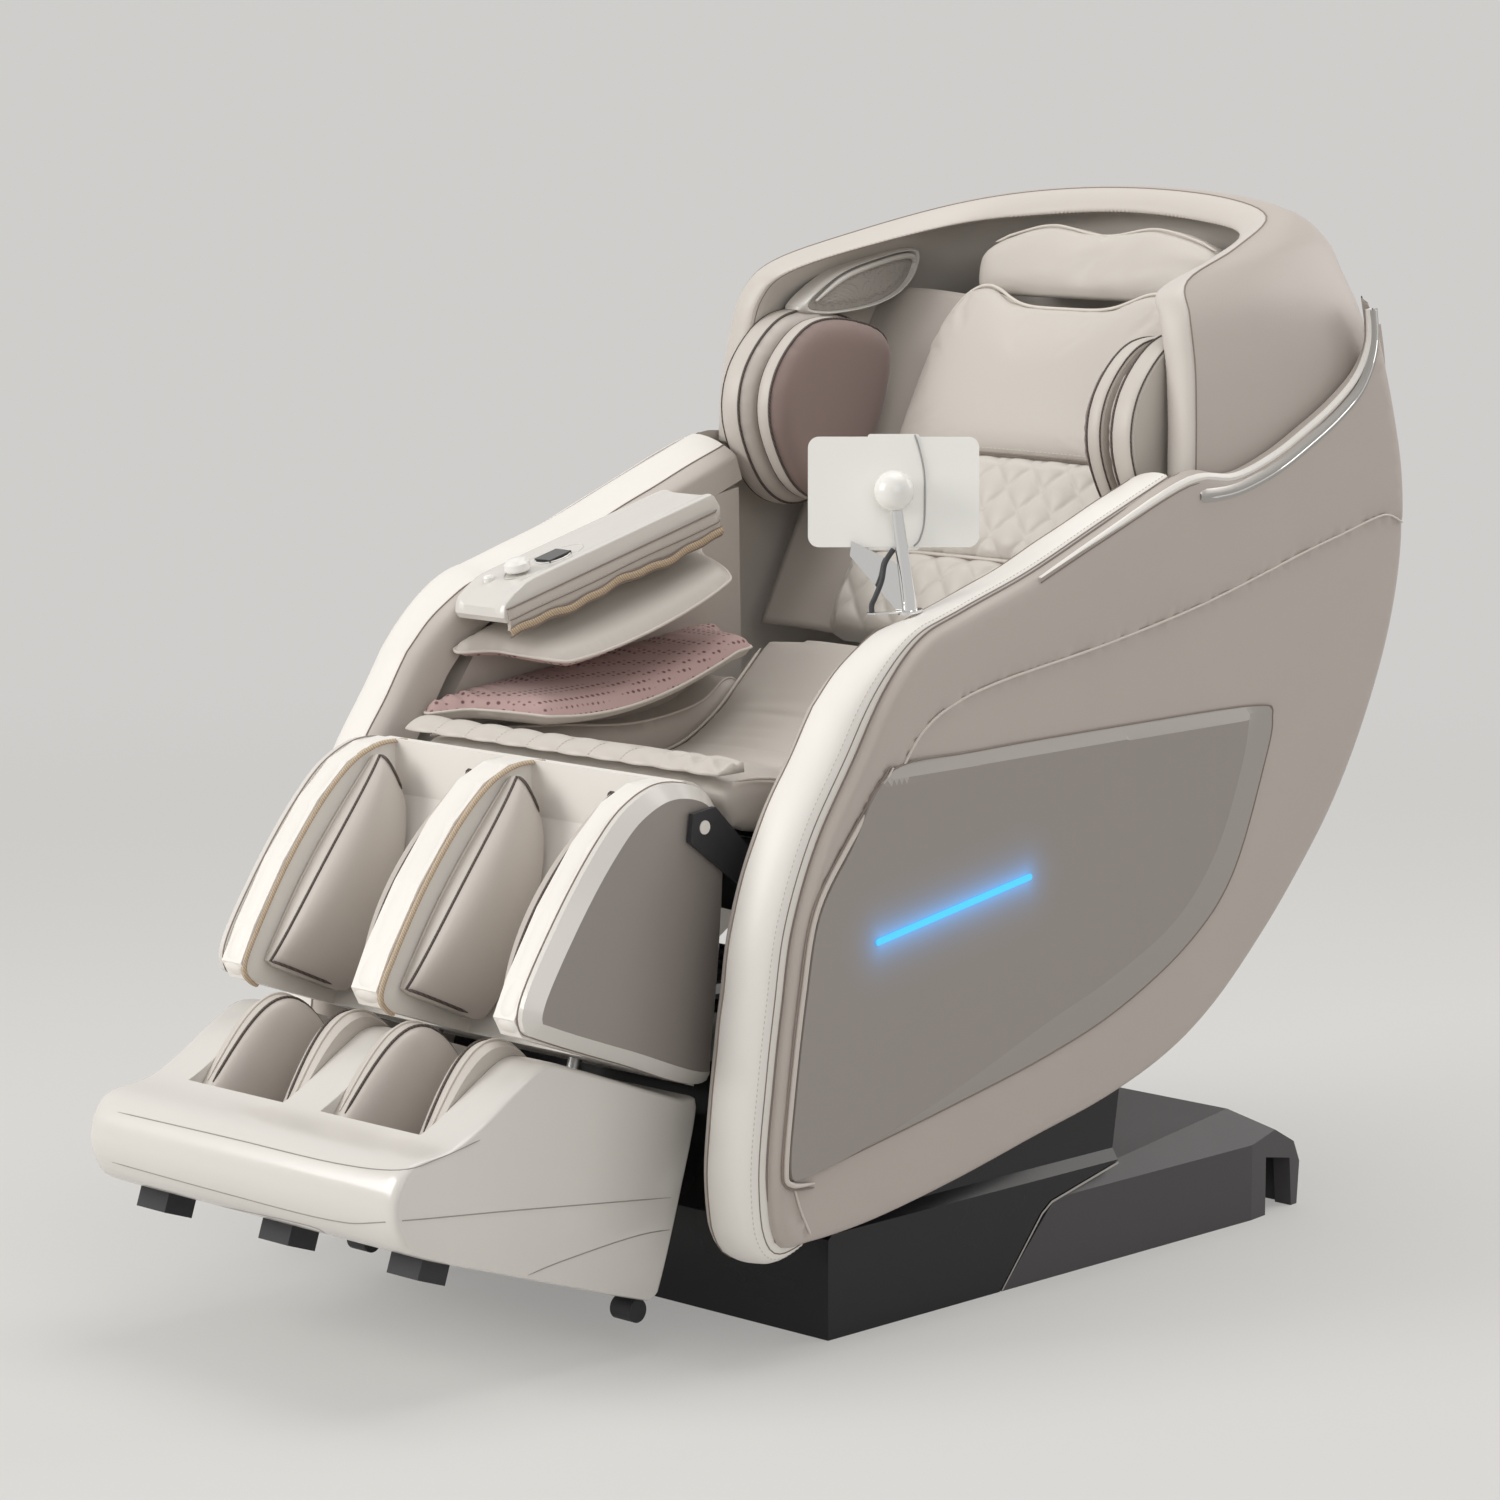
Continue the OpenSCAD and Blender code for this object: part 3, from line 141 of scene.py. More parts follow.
def grid(rows, cols, wrap=False):
    w = cols if wrap else cols - 1
    return [(r * cols + c, r * cols + (c + 1) % cols, (r + 1) * cols + (c + 1) % cols, (r + 1) * cols + c)
            for r in range(rows - 1) for c in range(w)]


def loft(rings, caps=True, wrap=True):
    """Skin over rings of equal length."""
    rings = [np.asarray(r, float) for r in rings]
    n, m = len(rings), len(rings[0])
    faces = grid(n, m, wrap)
    if caps:
        faces += [tuple(range(m))[::-1], tuple(range((n - 1) * m, n * m))]
    return np.concatenate(rings), faces


def slab(top, low):
    """Closed skin between rows of points and the rows below them."""
    return loft([np.vstack([a, b[::-1]]) for a, b in zip(top, low)])


def sweep(path, d, sides=8, closed=False, flat=1.0, taper=False):
    """Round or flattened cord along a path; d may change along it."""
    p = np.asarray(path, float)
    n = len(p)
    d = np.broadcast_to(d, n)
    t = tangents(p, closed)
    u = np.cross(t[0], (0.31, 0.22, 0.93))
    a = np.arange(sides) * 2 * math.pi / sides
    rings = []
    for i in range(n):
        u = u - t[i] * np.dot(u, t[i])
        u /= np.linalg.norm(u)
        w = np.cross(t[i], u)
        k = 0.35 if taper and i in (0, n - 1) else 1.0
        rings.append(p[i] + k * d[i] / 2 * (np.cos(a)[:, None] * u + flat * np.sin(a)[:, None] * w))
    if not closed:
        return loft(rings)
    last = (n - 1) * sides
    return np.concatenate(rings), grid(n, sides, True) + [
        (last + c, last + (c + 1) % sides, (c + 1) % sides, c) for c in range(sides)]


def join(*parts):
    v, f, n = [], [], 0
    for a, b in parts:
        v.append(np.asarray(a, float))
        f += [tuple(i + n for i in q) for q in b]
        n += len(a)
    return np.concatenate(v), f


def dashes(path, pitch=7.0, length=4.2, d=1.3):
    """A row of stitches along a path."""
    p = even(path, pitch)
    return join(*[sweep([q + w * length * (k - 0.5) for k in (0, 0.2, 0.8, 1)], d, 5, taper=True)
                  for q, w in zip(p, tangents(p))])


def ribbon(path, out_dir, width, height, crown=0.35):
    """A flat strip along a path, its face towards out_dir (one vector or one for each point)."""
    p = np.asarray(path, float)
    t = tangents(p)
    s = unit(np.cross(t, np.broadcast_to(np.asarray(out_dir, float), p.shape)))
    o = np.cross(s, t)
    h = np.broadcast_to(height, len(p))[:, None]
    w = np.broadcast_to(width, len(p))[:, None]
    section = [(-0.5, 0), (-0.5, 0.5), (-0.38, 0.9), (0, 1 + crown * 0.3), (0.38, 0.9), (0.5, 0.5), (0.5, 0)]
    return loft(np.stack([p + a * w * s + b * h * o for a, b in section], 1))


def mirrored(geo):
    v, f = geo
    v = np.array(v, float)
    v[:, 0] *= -1
    return v, [tuple(reversed(q)) for q in f]


def inside_of(q, loop):
    a, b = loop, np.roll(loop, -1, 0)
    cross = ((a[None, :, 1] > q[:, None, 1]) != (b[None, :, 1] > q[:, None, 1]))
    with np.errstate(divide="ignore", invalid="ignore"):
        at = a[:, 0] + (q[:, None, 1] - a[:, 1]) * (b[:, 0] - a[:, 0]) / (b[:, 1] - a[:, 1])
    return (cross & (q[:, None, 0] < at)).sum(1) % 2 == 1


def fill_flat(loop, step, rings=(), lines=()):
    """Triangles over a closed flat outline: inner points about a step apart, rows of points at the distances
    in rings from the edge, and edges along the lines. Returns points, triangles and distances to the edge."""
    loop = np.asarray(loop, float)
    n = len(loop)
    inward = side_of(loop, True)
    if not inside_of(loop[n // 2][None] + inward[n // 2] * 0.5, loop)[0]:
        inward = -inward
    extra = []
    for r in rings:
        q = loop + inward * r
        extra.append(q[(to_line(q, loop, True)[0] > r * 0.93) & inside_of(q, loop)])
    reach = (max(rings) if rings else 0) + step * 0.5
    lo, hi = loop.min(0), loop.max(0)
    gy, gz = np.meshgrid(np.arange(lo[0] + step / 2, hi[0], step), np.arange(lo[1] + step / 2, hi[1], step * 0.87),
                         indexing="ij")
    gy = gy + (np.arange(gz.shape[1]) % 2)[None] * step / 2
    q = np.stack([gy.ravel(), gz.ravel()], 1)
    q = q[inside_of(q, loop)]
    q = q[to_line(q, loop, True)[0] > reach]
    edges, cut = [(k, (k + 1) % n) for k in range(n)], []
    for ln in lines:
        ln = even(ln, step * 0.6)
        ln = ln[inside_of(ln, loop)]
        ln = ln[to_line(ln, loop, True)[0] > 0.6]
        if len(ln) < 2:
            continue
        q = q[to_line(q, ln)[0] > step * 0.4]
        extra = [e[to_line(e, ln)[0] > 0.8] for e in extra]
        cut.append(ln)
    base = n + sum(len(a) for a in extra)
    for ln in cut:
        edges += [(base + k, base + k + 1) for k in range(len(ln) - 1)]
        base += len(ln)
    res = delaunay_2d_cdt([Vector(p) for p in np.vstack([loop] + extra + cut + [q])], edges, [], 1, 1e-5)
    p = np.array([tuple(p) for p in res[0]])
    dist = to_line(p, loop, True)[0]
    dist[:n] = 0
    return p, [tuple(f) for f in res[2]], dist


def relief(loop, step, front, back, rings=(1.2, 3.0, 6.0, 10.0), lines=()):
    """A plate with a dense front face: front(points, distance to the edge) gives x, and back is its rear x."""
    p, faces, dist = fill_flat(loop, step, rings, lines)
    n, m = len(loop), len(p)
    faces += [tuple(m + k for k in range(n))[::-1]]
    faces += [(k, (k + 1) % n, m + (k + 1) % n, m + k) for k in range(n)]
    return np.concatenate([yz(p, front(p, dist)), yz(loop, float(back))]), faces


def raw(name, geo):
    me = bpy.data.meshes.new(name)
    v, f = geo
    me.from_pydata([tuple(p) for p in np.asarray(v, float) * MM], [], [tuple(int(i) for i in q) for q in f])
    ob = bpy.data.objects.new(name, me)
    scene.collection.objects.link(ob)
    return ob


def piece(name, parts, body, sharp=38, subdiv=0, side="left"):
    """One object from (geometry, material) parts, riding on a body. The right side's parts are mirrored."""
    if side == "right":
        parts = [(mirrored(g), m) for g, m in parts]
    ob = raw(name, join(*[g for g, _ in parts]))
    me = ob.data
    mats, index = [], []
    for g, m in parts:
        if m not in mats:
            mats.append(m)
            me.materials.append(m)
        index += [mats.index(m)] * len(g[1])
    me.polygons.foreach_set("material_index", index)
    bm = bmesh.new()
    bm.from_mesh(me)
    bmesh.ops.remove_doubles(bm, verts=bm.verts, dist=1e-6)
    bmesh.ops.recalc_face_normals(bm, faces=bm.faces)
    bm.to_mesh(me)
    bm.free()
    me.shade_smooth()
    if sharp:
        me.set_sharp_from_angle(angle=math.radians(sharp))
    if subdiv:
        s = ob.modifiers.new("subdivision", "SUBSURF")
        s.levels = s.render_levels = subdiv
    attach(ob, body)
    return ob


def puff(geo, pin, pressure, cap, voxel, frames, bend=0.5):
    """Cloth under pressure: the form swells and wrinkles by up to cap, except where pin() holds. In mm."""
    ob = raw("sim", geo)
    m = ob.modifiers.new("remesh", "REMESH")
    m.mode, m.voxel_size = "VOXEL", voxel * MM
    dg = bpy.context.evaluated_depsgraph_get()
    me = bpy.data.meshes.new_from_object(ob.evaluated_get(dg))
    ob.modifiers.clear()
    ob.data = me
    v0 = v1 = np.array([tuple(v.co) for v in me.vertices]) / MM
    faces = [tuple(p.vertices) for p in me.polygons]
    w = np.clip(pin(v0), 0, 1)
    vg = ob.vertex_groups.new(name="pin")
    for i in np.nonzero(w > 0.02)[0]:
        vg.add([int(i)], float(w[i]), "REPLACE")
    c = ob.modifiers.new("cloth", "CLOTH")
    s = c.settings
    s.quality, s.mass = 4, 0.25
    s.tension_stiffness = s.compression_stiffness = 22
    s.shear_stiffness, s.bending_stiffness = 10, bend
    s.use_pressure, s.uniform_pressure_force = True, pressure
    s.vertex_group_mass = "pin"
    s.effector_weights.gravity = 0
    c.point_cache.frame_start, c.point_cache.frame_end = 1, frames
    for k in range(1, frames + 1):
        scene.frame_set(k)
    e = ob.evaluated_get(bpy.context.evaluated_depsgraph_get())
    v1 = np.array([tuple(v.co) for v in e.data.vertices]) / MM
    move = v1 - v0
    size = np.linalg.norm(move, axis=1, keepdims=True)
    v1 = v0 + move * np.minimum(1, cap / np.maximum(size, 1e-6))
    scene.frame_set(1)
    bpy.data.objects.remove(ob)
    return v1, faces


# ---------------------------------------------------------------- materials
def add(nt, kind, inputs=None, **settings):
    """A shader node; each of its inputs is a constant or another node's output."""
    n = nt.nodes.new("ShaderNode" + kind)
    for k, v in settings.items():
        setattr(n, k, v)
    for k, v in (inputs or {}).items():
        if isinstance(v, bpy.types.NodeSocket):
            nt.links.new(v, n.inputs[k])
        else:
            n.inputs[k].default_value = v
    return n


def material(name, colour, rough, metal=0.0, coat=0.0, sheen=0.0, grain=None, vary=0.05, vary_scale=6.0,
             rough_vary=0.06, spec=0.5, dark=None):
    """Principled surface with soft colour and roughness variation; grain = (kind, scale, strength, depth), and
    dark is the colour between the threads or in the holes."""
    m = bpy.data.materials.new(name)
    m.use_nodes = True
    nt = m.node_tree
    b = nt.nodes["Principled BSDF"]
    for k, v in (("Metallic", metal), ("Specular IOR Level", spec), ("Coat Weight", coat), ("Coat Roughness", 0.12),
                 ("Sheen Weight", sheen), ("Sheen Roughness", 0.45)):
        b.inputs[k].default_value = v
    co = add(nt, "TexCoord").outputs["Object"]
    wide = add(nt, "TexNoise", {"Vector": co, "Scale": vary_scale, "Detail": 3.0, "Roughness": 0.55}).outputs["Fac"]
    deep, pale = [(*np.clip(np.array(colour) * k, 0, 1), 1) for k in (1 - vary, 1 + vary)]
    paint = add(nt, "Mix", {0: wide, 6: deep, 7: pale}, data_type="RGBA").outputs[2]
    ramp = add(nt, "MapRange", {"Value": wide, "To Min": rough - rough_vary, "To Max": rough + rough_vary})
    nt.links.new(ramp.outputs["Result"], b.inputs["Roughness"])
    if grain:
        kind, scale, strength, depth = grain
        if kind == "leather":
            cells = add(nt, "TexVoronoi", {"Vector": co, "Scale": scale, "Randomness": 1.0},
                        feature="DISTANCE_TO_EDGE")
            fine = add(nt, "TexNoise", {"Vector": co, "Scale": scale * 0.35, "Detail": 4.0, "Roughness": 0.6})
            height = add(nt, "Math", {0: fine.outputs["Fac"], 1: 0.6, 2: cells.outputs["Distance"]},
                         operation="MULTIPLY_ADD").outputs[0]
        elif kind == "dots":
            cells = add(nt, "TexVoronoi", {"Vector": co, "Scale": scale, "Randomness": 0.0})
            height = add(nt, "MapRange", {"Value": cells.outputs["Distance"], "From Min": 0.20,
                                          "From Max": 0.34}).outputs["Result"]
        elif kind == "braid":
            height = add(nt, "TexWave", {"Vector": co, "Scale": scale, "Distortion": 2.0, "Detail": 1.0},
                         bands_direction="DIAGONAL").outputs["Fac"]
        elif kind == "brushed":
            drawn = add(nt, "Mapping", {"Vector": co, "Scale": (1.0, 0.06, 1.0)}).outputs["Vector"]
            height = add(nt, "TexNoise", {"Vector": drawn, "Scale": scale, "Detail": 2.0,
                                          "Roughness": 0.5}).outputs["Fac"]
        else:
            height = add(nt, "TexNoise", {"Vector": co, "Scale": scale, "Detail": 3.0,
                                          "Roughness": 0.5}).outputs["Fac"]
        if dark:
            paint = add(nt, "Mix", {0: height, 6: (*dark, 1), 7: paint}, data_type="RGBA").outputs[2]
        bump = add(nt, "Bump", {"Height": height, "Strength": strength, "Distance": depth})
        nt.links.new(bump.outputs["Normal"], b.inputs["Normal"])
    nt.links.new(paint, b.inputs["Base Color"])
    return m


GRAIN = ("leather", 620.0, 0.35, 0.0004)


def leather(name, colour, rough=0.44, vary=0.03):
    return material(name, colour, rough, sheen=0.12, grain=GRAIN, vary=vary)


def noise(scale, strength, depth=0.0003):
    return "noise", scale, strength, depth


def gloss(name, colour, rough, coat, grain, vary=0.02, rough_vary=0.04):
    return material(name, colour, rough, coat=coat, grain=grain, vary=vary, rough_vary=rough_vary)


CREAM = leather("cream_leather", (0.82, 0.79, 0.75), 0.42, 0.025)
SIDE = leather("side_leather", (0.455, 0.405, 0.37), 0.46)
TAUPE = leather("taupe_leather", (0.535, 0.49, 0.45))
LIGHT = leather("light_leather", (0.575, 0.535, 0.49))
QUILT = leather("quilted_leather", (0.62, 0.585, 0.54))
RIM = leather("rim_leather", (0.60, 0.56, 0.52))
# The side leather painted lighter for the piping ridges and the panel's raised lip: a painted highlight
LIP_HIGHLIT = leather("piped_leather_painted_highlight", (0.60, 0.55, 0.505))
EDGE = material("light_piping", (0.66, 0.61, 0.56), 0.45, grain=GRAIN, vary=0.03)
MAUVE = material("mauve_fabric", (0.26, 0.19, 0.175), 0.72, sheen=0.25, grain=noise(900.0, 0.3, 0.0004))
PINK = material("pink_mesh", (0.50, 0.345, 0.33), 0.75, sheen=0.2, grain=("dots", 118.0, 0.6, 0.0012),
                dark=(0.16, 0.07, 0.075))
PIPE = material("dark_piping", (0.115, 0.085, 0.075), 0.55, grain=("braid", 120.0, 0.5, 0.0005),
                dark=(0.05, 0.038, 0.034))
ZIP = material("zip_tape", (0.60, 0.47, 0.33), 0.62, grain=("braid", 150.0, 0.7, 0.0008), dark=(0.38, 0.28, 0.19))
CABLE = material("cable_black", (0.025, 0.025, 0.028), 0.5, grain=("braid", 260.0, 0.5, 0.0004),
                 dark=(0.06, 0.06, 0.065))
GRILLE = material("speaker_cloth", (0.40, 0.37, 0.345), 0.7, grain=("dots", 520.0, 0.5, 0.0006),
                  dark=(0.16, 0.145, 0.135))
# Dark cords for the foot housing's split and embossed lines: painted shade
SPLIT_SHADE = material("split_line_painted_shade", (0.30, 0.28, 0.26), 0.6, grain=noise(500.0, 0.1, 0.0002))
# Dark cords along seams, grooves and edges stand in for the shade in them: painted shade
SEAM_SHADE = material("seam_painted_shade", (0.24, 0.195, 0.17), 0.7, grain=noise(700.0, 0.3))
THREAD = material("thread", (0.60, 0.55, 0.50), 0.6, grain=noise(1400.0, 0.3, 0.0002))
GLOSS = gloss("cream_gloss", (0.68, 0.655, 0.62), 0.24, 0.35, noise(180.0, 0.05), 0.012, 0.03)
WHITE = gloss("white_gloss", (0.84, 0.83, 0.80), 0.26, 0.3, noise(200.0, 0.05), 0.012, 0.03)
PANEL = gloss("panel_gloss", (0.295, 0.265, 0.245), 0.34, 0.15, noise(260.0, 0.06))
# Lighter copies of the panel's gloss on its top bevel and its broad rear and lower bevel: painted light on the sloping
# faces
BEVEL = gloss("panel_bevel_painted_light", (0.39, 0.36, 0.335), 0.36, 0.12, noise(260.0, 0.06))
PANEL_FLANK_LIT = gloss("panel_flank_painted_light", (0.33, 0.30, 0.28), 0.36, 0.12, noise(260.0, 0.06))
BLACK = material("black_gloss", (0.010, 0.009, 0.011), 0.26, coat=0.12, spec=0.3, grain=noise(240.0, 0.06), vary=0.1)
HOUSING = material("dark_housing", (0.050, 0.046, 0.050), 0.42, grain=noise(500.0, 0.25, 0.0004), vary=0.08)
SILVER = material("silver_trim", (0.44, 0.42, 0.40), 0.36, metal=1.0, grain=("brushed", 500.0, 0.15, 0.0002),
                  vary=0.04)
CHROME = material("chrome", (0.80, 0.80, 0.80), 0.08, metal=1.0, grain=noise(60.0, 0.02, 0.0002), vary=0.02,
                  rough_vary=0.03)
STEEL = material("frame_steel", (0.045, 0.045, 0.05), 0.48, metal=0.3, grain=noise(420.0, 0.25, 0.0004), vary=0.12)
ZINC = material("zinc_steel", (0.55, 0.55, 0.54), 0.35, metal=1.0, grain=("brushed", 300.0, 0.25, 0.0003), vary=0.08)
RUBBER = material("rubber", (0.022, 0.021, 0.025), 0.62, grain=noise(500.0, 0.4, 0.0005), vary=0.12)
RED = material("switch_red", (0.55, 0.02, 0.02), 0.3, coat=0.2, grain=noise(300.0, 0.08))
DISPLAY = material("display_glass", (0.012, 0.013, 0.016), 0.08, coat=0.5, grain=noise(50.0, 0.02, 0.0002), vary=0.1)
ROLLER = material("roller_plastic", (0.10, 0.10, 0.10), 0.5, grain=noise(400.0, 0.25, 0.0004), vary=0.08)
LEAD = material("lead_grey", (0.34, 0.33, 0.32), 0.45, grain=noise(500.0, 0.1))
LED = material("light_blue", (0.06, 0.46, 0.90), 0.3, grain=noise(300.0, 0.05, 0.0002))
# The bar glows as the chair's own light does; the panel's blue emission, shaped by add_halo, is painted light from the
# bar
for m, colour in ((LED, (0.06, 0.46, 0.90, 1)), (PANEL, (0.0, 0.30, 0.80, 1))):
    m.node_tree.nodes["Principled BSDF"].inputs["Emission Color"].default_value = colour
LED.node_tree.nodes["Principled BSDF"].inputs["Emission Strength"].default_value = 0.75


def add_halo(nt):
    """Light of the bar on the panel round it: fades with the distance from the bar's own line, in metres."""
    bar_y, bar_z, half_length, rise = -0.083, 0.465, 0.118, math.radians(9)
    at = add(nt, "SeparateXYZ", {0: add(nt, "TexCoord").outputs["Object"]}).outputs

    def op(kind, *values):
        return add(nt, "Math", dict(enumerate(values)), operation=kind).outputs[0]
    ca, sa = math.cos(rise), math.sin(rise)
    y, z = op("ADD", at["Y"], -bar_y), op("SUBTRACT", at["Z"], bar_z)
    along = op("ADD", op("MULTIPLY", y, ca), op("MULTIPLY", z, sa))
    across = op("SUBTRACT", op("MULTIPLY", z, ca), op("MULTIPLY", y, sa))
    beyond = op("MAXIMUM", op("SUBTRACT", op("ABSOLUTE", along), half_length), 0.0)
    dist = op("SQRT", op("ADD", op("MULTIPLY", beyond, beyond), op("MULTIPLY", across, across)))
    near = op("POWER", 2.718, op("MULTIPLY", dist, -78.0))
    nt.links.new(op("MULTIPLY", near, 1.1), nt.nodes["Principled BSDF"].inputs["Emission Strength"])


add_halo(PANEL.node_tree)


# ---------------------------------------------------------------- frames of reference
BACK_AT, BACK_LEAN = (0, 385, 780), -28.3
ARM_AT, ARM_LEAN = (0, -165, 727), 14.5


def placed(points, at, lean, spin=0.0):
    """Points leaned about X, then spun about Z, in degrees, and moved to a place."""
    p = np.asarray(points, float)
    a, b = math.radians(lean), math.radians(spin)
    y = p[:, 1] * math.cos(a) - p[:, 2] * math.sin(a)
    z = p[:, 1] * math.sin(a) + p[:, 2] * math.cos(a)
    x = p[:, 0] * math.cos(b) - y * math.sin(b)
    y = p[:, 0] * math.sin(b) + y * math.cos(b)
    return np.column_stack([x + at[0], y + at[1], z + at[2]])


def on_back(p):
    return placed(p, BACK_AT, BACK_LEAN)


def on_arm(p):
    return placed(p, ARM_AT, ARM_LEAN)


def off(p, at, lean):
    """Points of the scene seen from a leaned frame."""
    return placed(p - at, (0, 0, 0), -lean)


# ---------------------------------------------------------------- cords
cable_route = spline([[318.6, -92, 852], [316.5, -103, 838], [320, -112, 820], [317.5, -119, 803],
                      [314, -121, 793.8], [314, -121, 785.8]], 6)
tablet_cable = piece("braided_cable", [(sweep(cable_route, 6, 14), CABLE)], "stand")
lead_route = placed(spline([[q[0], 20.7, q[1]] for q in
                            [[23, 62], [28, 46], [33, 22], [34, -4], [33, -34], [28, -52], [22, -59]]], 5),
                    (325, -98, 917), -9, 44)
tablet_lead = piece("grey_lead", [(sweep(lead_route, 2, 10), LEAD)], "tablet")
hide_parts("tablet_cable")
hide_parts("tablet_lead")


# ---------------------------------------------------------------- photo pixels carried onto a surface
def trace(pixels, ob, n, lift):
    """Points where the camera's rays through the photo's pixels meet an object, in mm."""
    tree = BVHTree.FromObject(ob, bpy.context.evaluated_depsgraph_get())
    f = LENS / SENSOR * PHOTO
    out = []
    for x, y in spline(pixels, n):
        h = tree.ray_cast(EYE, (AHEAD + RIGHT * ((x - PHOTO / 2) / f) + UP * ((PHOTO / 2 - y) / f)).normalized())
        if h[0] is not None:
            out.append(tuple((h[0] + h[1] * lift * MM) / MM))
    return np.array(out)


def split(geo, test):
    """Two parts of a mesh, by a test on the faces' middles."""
    v, f = geo
    k = test(np.array([v[list(q)].mean(0) for q in f]))
    out = []
    for flag in (True, False):
        g = [q for q, t in zip(f, k) if bool(t) == flag]
        used = sorted({i for q in g for i in q})
        new = {i: j for j, i in enumerate(used)}
        out.append((v[used] if used else np.zeros((0, 3)), [tuple(new[i] for i in q) for q in g]))
    return out


def both(make, name):
    """The same piece for the sitter's left (+X) and the sitter's right (-X)."""
    for side in ("left", "right"):
        make(name + "_" + side, side)


# ---------------------------------------------------------------- outlines of the side, [y, z]
arm_front = [[-344, 137], [-357, 210], [-346, 313], [-334, 390], [-318, 474], [-281, 560], [-226, 640],
             [-176, 712], [-120, 762], [-50, 786], [60, 818], [180, 862], [318, 912]]
shell_top = [[400, 906], [470, 924], [531, 950], [590, 979], [638, 1012], [661, 1050], [652, 1102]]
shell_rear = [[680, 1040], [708, 960], [727, 880], [729, 790], [705, 690], [660, 590], [604, 501],
              [542, 429], [472, 360], [386, 290], [300, 243], [190, 208], [60, 182], [-70, 156],
              [-200, 136], [-300, 130]]
shell_loop = outline(arm_front + shell_top + shell_rear, 9)
front_line = spline(arm_front, 8)
panel_loop = outline([[-340, 214], [-332, 300], [-316, 400], [-296, 486], [-249, 550], [-184, 626], [-42, 634],
                      [208, 636], [448, 634], [478, 616], [463, 560], [408, 440], [330, 370], [208, 312],
                      [82, 276], [-72, 246], [-222, 220], [-312, 206]], 7)
crease = spline([[-160, 632], [-129, 665], [-80, 689], [1, 707], [171, 730], [348, 761], [532, 805],
                 [609, 822], [667, 835], [696, 837], [724, 826]], 8)
tip_line = spline([[-184, 628], [-249, 552], [-296, 486], [-316, 400], [-332, 300], [-340, 214], [-312, 140]], 8)
piping_line = np.vstack([crease[::-1], tip_line])


# ---------------------------------------------------------------- padded side shells
SHELL_X = 383.0      # plane on which the shells' leather stands
SKIN_X = 397.4       # outer face of that leather, away from its edges
BAND_X = 382.6       # outer plane of the bands along the arms' front edges
MIDDLE = np.array([[100.0, 500.0]])      # a point inside the panel


def bump_at(d, width):
    return np.exp(-(d / width) ** 2)


def shell_face(p, d):
    edge = np.clip(d / 10, 0, 1)
    dp, _, s = to_line(p, piping_line)
    df = to_line(p, front_line)[0]
    swell = 2.6 * (1 - np.exp(-dp / 16)) * (1 - np.exp(-df / 16)) + 1.1 * bump_at(dp, 4)
    rest = 1.2 * np.exp(-dp / 22) + 0.8 * bump_at(dp - 30, 60)
    pull = 0.5 * np.sin(p[:, 0] / 23 + p[:, 1] / 61) * np.exp(-dp / 40) + 0.4 * np.sin(p[:, 1] / 37) * np.exp(-df / 60)
    x = SHELL_X + 14.2 * dome(d / 10) + np.where(s < 0, swell, -rest) * edge + pull * edge * 0.6
    return x - 1.2 * bump_at(to_line(p, panel_loop, True)[0], 4)


def shell(name, side):
    body = relief(shell_loop, 11, shell_face, SHELL_X, lines=[piping_line])
    lining, body = split(body, lambda m: m[:, 0] < SHELL_X + 0.2)
    ob = piece(name, [(body, SIDE), (lining, LIGHT)], "seat", sharp=50, side=side)
    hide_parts("side_shell_" + side)
    edge = yz(front_line + side_of(front_line) * 0.2, SHELL_X + 0.4)
    low = spline([[-334, 214], [-322, 176], [-304, 141]], 8)
    # the crease and low piping cords are painted lighter, a painted highlight; the dark cord along the front edge is
    # painted shade
    seams = [(sweep(yz(crease, SKIN_X + 0.4), np.linspace(3.4, 2.6, len(crease)), 10, taper=True), LIP_HIGHLIT),
             (sweep(edge, 2.2, 8, taper=True), SEAM_SHADE), (sweep(yz(low, SKIN_X), 2.6, 8, taper=True), LIP_HIGHLIT)]
    piece(name + "_seams", seams, "seat", side=side)


PANEL_TOP = np.array([[-260, 631], [-40, 636], [208, 637], [455, 636]], float)
BEVEL_W = 17         # width of the bevel along the panel's top
# fold of the broad bevel along the rear and the lower edge, running out at the tip
PANEL_FOLD = spline([[428, 619], [417, 570], [372, 474], [300, 402], [190, 352], [70, 314], [-60, 270],
                     [-190, 232], [-300, 207]], 6)
FOLD_SIDE = -1 if to_line(MIDDLE, PANEL_FOLD)[2][0] > 0 else 1


def beyond_fold(p):
    d, _, sign = to_line(p, PANEL_FOLD)
    return d, sign * FOLD_SIDE > 0


def panel_face(p, d):
    fold, outside = beyond_fold(p)
    h = np.where(outside, 0.1 + 0.9 * d / np.maximum(d + fold, 1e-6), 1.0)
    h = np.minimum(h, np.clip(to_line(p, PANEL_TOP)[0] / BEVEL_W, 0, 1))
    return SKIN_X - 0.6 + np.clip(d / 1.2, 0, 1) * (0.4 + 5.6 * h)


